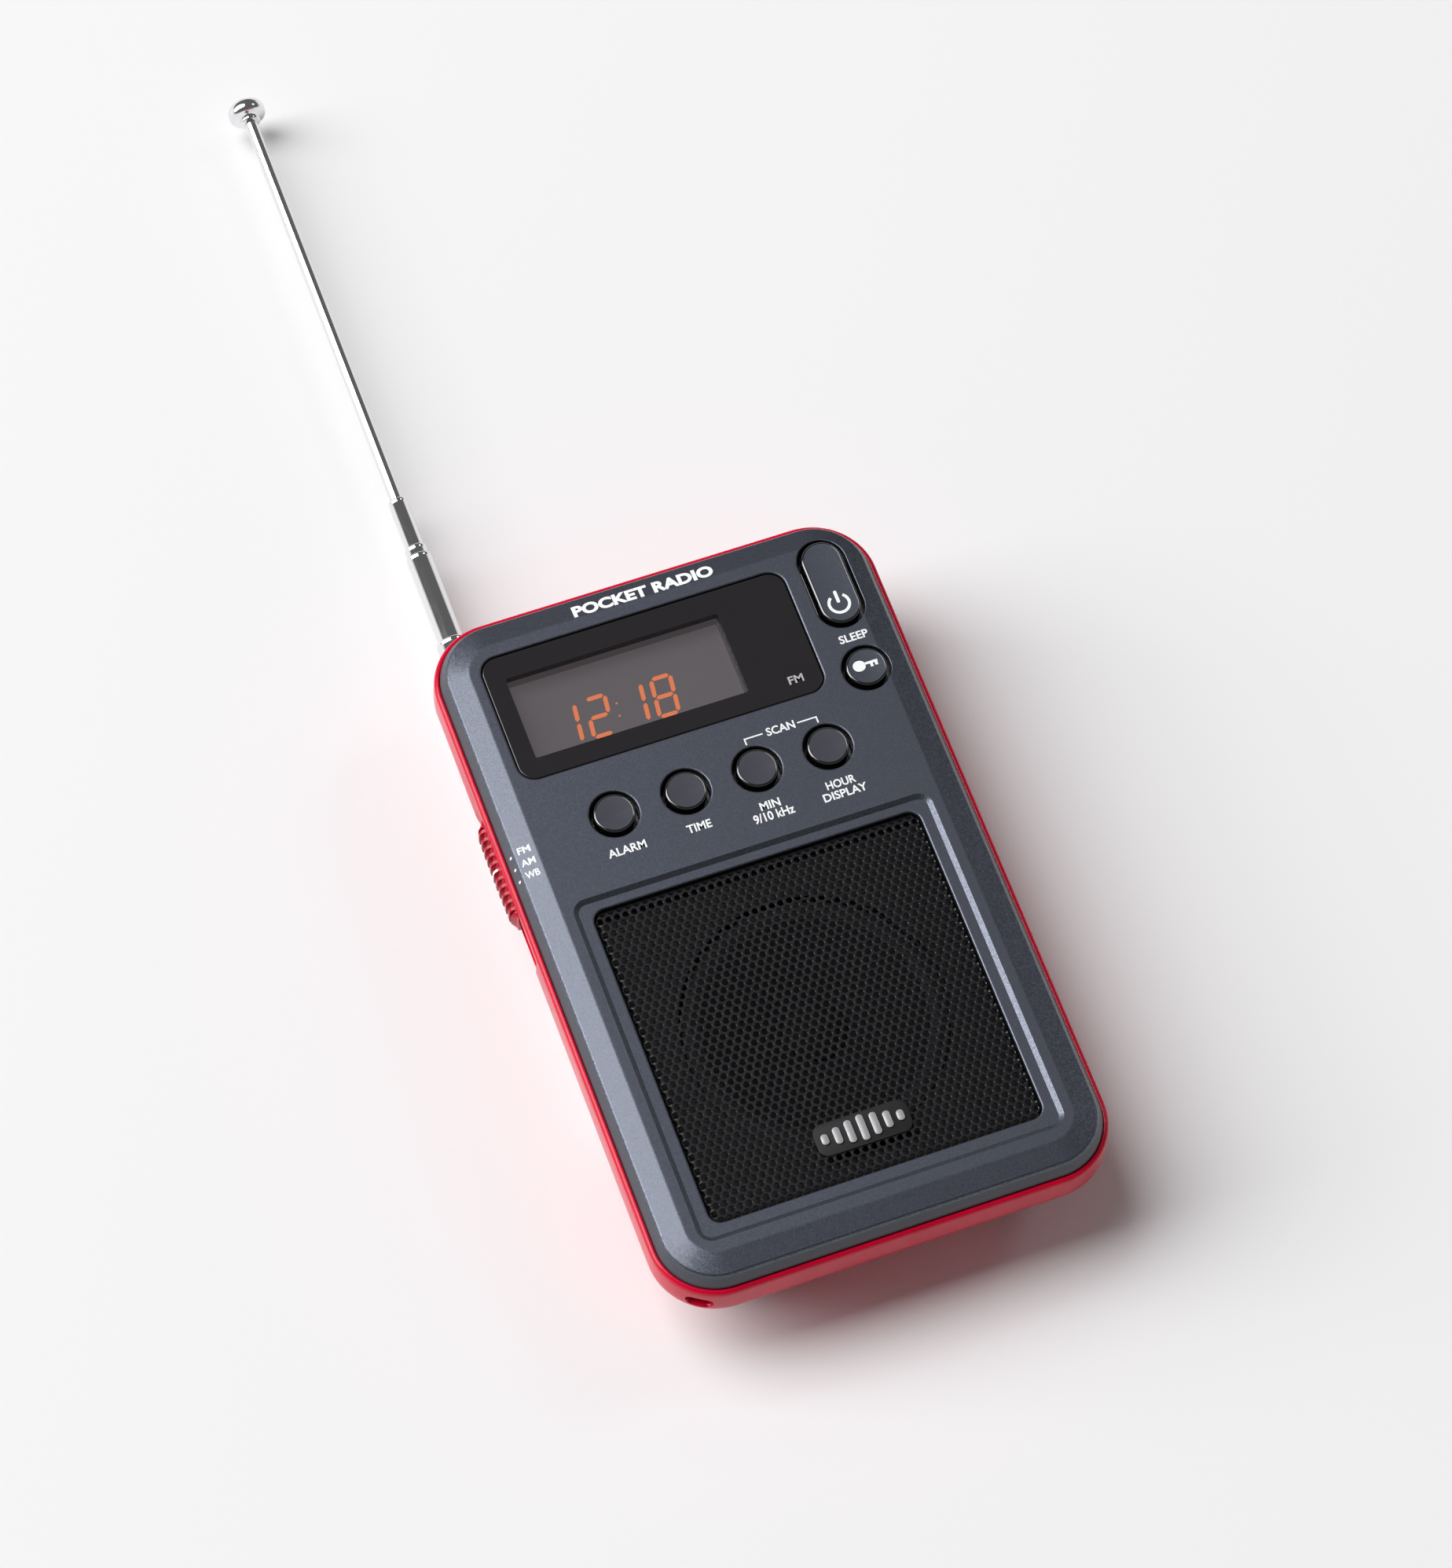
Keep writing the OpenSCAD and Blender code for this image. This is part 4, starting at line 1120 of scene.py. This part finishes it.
def jack():
    """Earphone socket: black body, bright collar with a rounded mouth."""
    lo, hi = extent("earphone_jack")
    bore = 1.8
    body = closed_block((hi[0] - lo[0] - 3.5, hi[1] - lo[1], 0.4, ((lo[0] + hi[0] - 3.5) / 2, JACK[1])),
                        lo[2], hi[2], 0.2)
    mesh = cut(make_mesh("jack_body", *body),
               [turned([(bore, lo[0] + 1.3), (bore, hi[0] + 1)], sideways(JACK), 40)])
    mesh.materials.clear()
    add("jack_body", mesh, "component", "case", "earphone_jack")
    x0 = hi[0] - 3.5
    collar = [(bore, x0 + 0.02), (2.8, x0 + 0.02), (2.8, hi[0] - 0.25), (2.7, hi[0] - 0.07), (2.5, hi[0]),
              (2.15, hi[0]), (1.95, hi[0] - 0.08), (bore, hi[0] - 0.3)]
    add("jack_collar", turned_ring(collar, sideways(JACK), 48), "chrome", "case",
        "earphone_jack")


def strap_pin():
    """Round pin across the strap opening."""
    x, y, _ = strap_corner(CORNER_R - 1.9, 0, 0)
    lo, hi = extent("lanyard_pin")
    profile = [(0.45, lo[2]), (0.6, lo[2] + 0.12), (0.6, hi[2] - 0.12), (0.45, hi[2])]
    add("strap_pin", turned(profile, upright((x, y)), 32), "steel", "case", "lanyard_pin")


def battery_door():
    """Sliding cover with softened edges, a thumb grip and side tongues."""
    lo, hi = extent("battery_door")
    plate = (DOOR_W, hi[1] - lo[1], 0.8, (0, (lo[1] + hi[1]) / 2))
    tongue = (hi[0] - lo[0], hi[1] - lo[1] - 2, 0.4, (0, (lo[1] + hi[1] - 2) / 2))
    mesh = make_mesh("door", *closed_block(plate, lo[2], hi[2] - 0.01, 0.18))
    grip_y = hi[1] - 7.9
    cutters = []
    for i in range(5):
        slot = (12 - 1.1 * i, 0.9, 0.4, (0, grip_y - 3.2 + i * 1.6))
        cutters.append(loft([layer(slot, by, lo[2] + z, 6)
                             for by, z in ((0.15, -0.3), (0.12, 0), (-0.1, 0.5))]))
    add("door_cover", cleaned(cut(mesh, cutters), "door", 32), "rear_shell", "door",
        "battery_door")
    add("door_tongue", closed_block(tongue, 0.75, hi[2], 0.1), "rear_shell", "door",
        "battery_door")


# ---- aerial

TIP_PROFILE = ((1.25, 0), (1.42, 0.06), (1.5, 0.2), (1.5, 0.55), (1.42, 0.68), (1.5, 0.76), (2.1, 0.86),
               (2.45, 1.02), (2.64, 1.3), (2.7, 1.65), (2.7, 2.15), (2.62, 2.5), (2.42, 2.84),
               (2.1, 3.12), (1.65, 3.34), (1.1, 3.5), (0.5, 3.58))


def tube_piece(name, node, body, bore):
    """Drawn tube whose mouth is rolled in round the next tube."""
    lo, hi = extent(node)
    r = (hi[0] - lo[0]) / 2
    y0, y1 = lo[1], hi[1]
    loop = [(bore, y0), (r - 0.1, y0), (r, y0 + 0.1), (r, y1 - 0.9), (r - 0.05, y1 - 0.75),
            (r - 0.05, y1 - 0.55), (r, y1 - 0.4), (r - 0.02, y1 - 0.2), (r - 0.09, y1 - 0.07),
            (r - 0.2, y1), (bore + 0.05, y1), (bore, y1 - 0.06)]
    add(name, turned_ring(loop, lengthways(AERIAL), 72), "chrome", body, node, 30)


def aerial():
    """Knuckle, four tubes, rod and its mushroom tip."""
    names = ("aerial_outer_tube", "aerial_thick_tube", "aerial_middle_tube", "aerial_thin_tube",
             "aerial_rod")
    radii = [(hi[0] - lo[0]) / 2 for lo, hi in map(extent, names)]
    for k, body in enumerate(("aerial_base", "aerial_thick", "aerial_middle", "aerial_thin")):
        tube_piece(names[k] + "_shell", names[k], body, radii[k + 1] + 0.05)
    lo, hi = extent("aerial_rod")
    r = radii[-1]
    rod = [(r - 0.15, lo[1]), (r, lo[1] + 0.15), (r, hi[1] - 0.01), (r * 0.6, hi[1])]
    add("aerial_rod_shell", turned(rod, lengthways(AERIAL), 56), "chrome", "aerial_end",
        "aerial_rod")
    y = extent("aerial_tip")[0][1]
    tip = [(radius, y + rise) for radius, rise in TIP_PROFILE]
    add("aerial_knob", turned(tip, lengthways(AERIAL), 72), "chrome", "aerial_end",
        "aerial_tip", 40)
    knuckle()


def knuckle():
    """Pivot disc with an arm into the outer tube."""
    hi = extent("aerial_knuckle")[1]
    z0, z1 = AERIAL[2] - 1.8, AERIAL[2] + 1.8
    disc = [(1.25, z0), (2.4, z0), (2.6, z0 + 0.2), (2.6, z1 - 0.2), (2.4, z1), (1.25, z1)]
    parts = [turned_ring(disc, upright(AERIAL), 56)]
    arm = [(radius, AERIAL[1] + rise) for radius, rise in
           ((1.5, 2.2), (1.6, 3.0), (2.15, 3.05), (2.28, 3.2), (2.28, 3.59), (1.84, 3.6))]
    parts.append(turned(arm + [(1.84, hi[1])], lengthways(AERIAL), 48))
    add("knuckle_body", joined(parts), "chrome", "aerial_base", "aerial_knuckle")


# ---- frame nodes that stay

def dress_frame():
    """Gives every CAD node the finish of its slot, except the speaker frame, which gets black painted steel."""
    for part in frame["record"]["subparts"]:
        node = frame["nodes"][part["node"]]
        finish = "black_steel" if part["node"] == "speaker_frame" else part["material_slot"]
        slots = node.data.materials
        slots.clear()
        slots.append(MAT[finish])


# ---- camera, light, floor

def camera():
    eye = Vector((-0.12969, -0.27831, 0.67685))
    right = Vector((0.9383, -0.3444, 0.0312)).normalized()
    back = Vector((-0.1777, -0.4027, 0.8979)).normalized()
    up = back.cross(right).normalized()
    right = up.cross(back)
    data = bpy.data.cameras.new("camera")
    data.lens = 126.32
    data.sensor_width = 36
    data.sensor_fit = "AUTO"
    data.clip_start = 0.01
    holder = put("camera", data)
    turn = Matrix((right, up, back)).transposed().to_4x4()
    holder.matrix_world = Matrix.Translation(eye) @ turn
    bpy.context.scene.camera = holder


def softbox(name, at, along, size, power):
    """Rectangular lamp that faces the radio; along is the way its first side runs."""
    data = bpy.data.lights.new(name, "AREA")
    data.shape = "RECTANGLE"
    data.size, data.size_y = size
    data.energy = power
    back = Vector(at).normalized()
    side = (Vector(along) - back * back.dot(Vector(along))).normalized()
    turn = Matrix((side, back.cross(side), back)).transposed().to_4x4()
    put(name, data).matrix_world = Matrix.Translation(Vector(at)) @ turn


def room():
    """Dim room whose walls are pale near the floor."""
    world = bpy.data.worlds.new("world")
    world.use_nodes = True
    tree = world.node_tree
    place = new_node(tree, "ShaderNodeTexCoord")["Generated"]
    height = new_node(tree, "ShaderNodeSeparateXYZ", Vector=place)["Z"]
    fade = new_node(tree, "ShaderNodeMapRange", Value=height, From_Min=0.13, From_Max=0.24,
                    To_Min=0.72, To_Max=0.12)
    feed(tree, tree.nodes["Background"], Color=(1, 1, 1, 1), Strength=fade["Result"])
    bpy.context.scene.world = world


def studio():
    """Pale floor in a dim room, lit by a long softbox high on the left and a weak one on the right."""
    ring = [(-3000, -3000), (3000, -3000), (3000, 3000), (-3000, 3000)]
    floor = put("floor", make_mesh("floor", *prism(ring, -20, 0), smooth=0))
    floor.data.materials.append(MAT["floor"])
    room()
    softbox("key_light", (-2.38, 1.36, 2.79), (-0.79, 0, -0.61), (5.0, 2.3), 244)
    softbox("fill_light", (2.8, 0.7, 2.7), (0, 1, 0), (0.8, 0.8), 7)
    bpy.context.scene.view_settings.view_transform = "Standard"


camera()
studio()
dress_frame()
front_case()
front_inside()
display()
display_digits()
grille()
badge()
rear_case()
key_tops = {node: key_cap(node, body) for node, body in KEYS.items()}
labels()
icons(key_tops)
band_knob()
volume_wheel()
screws()
jack()
strap_pin()
battery_door()
aerial()
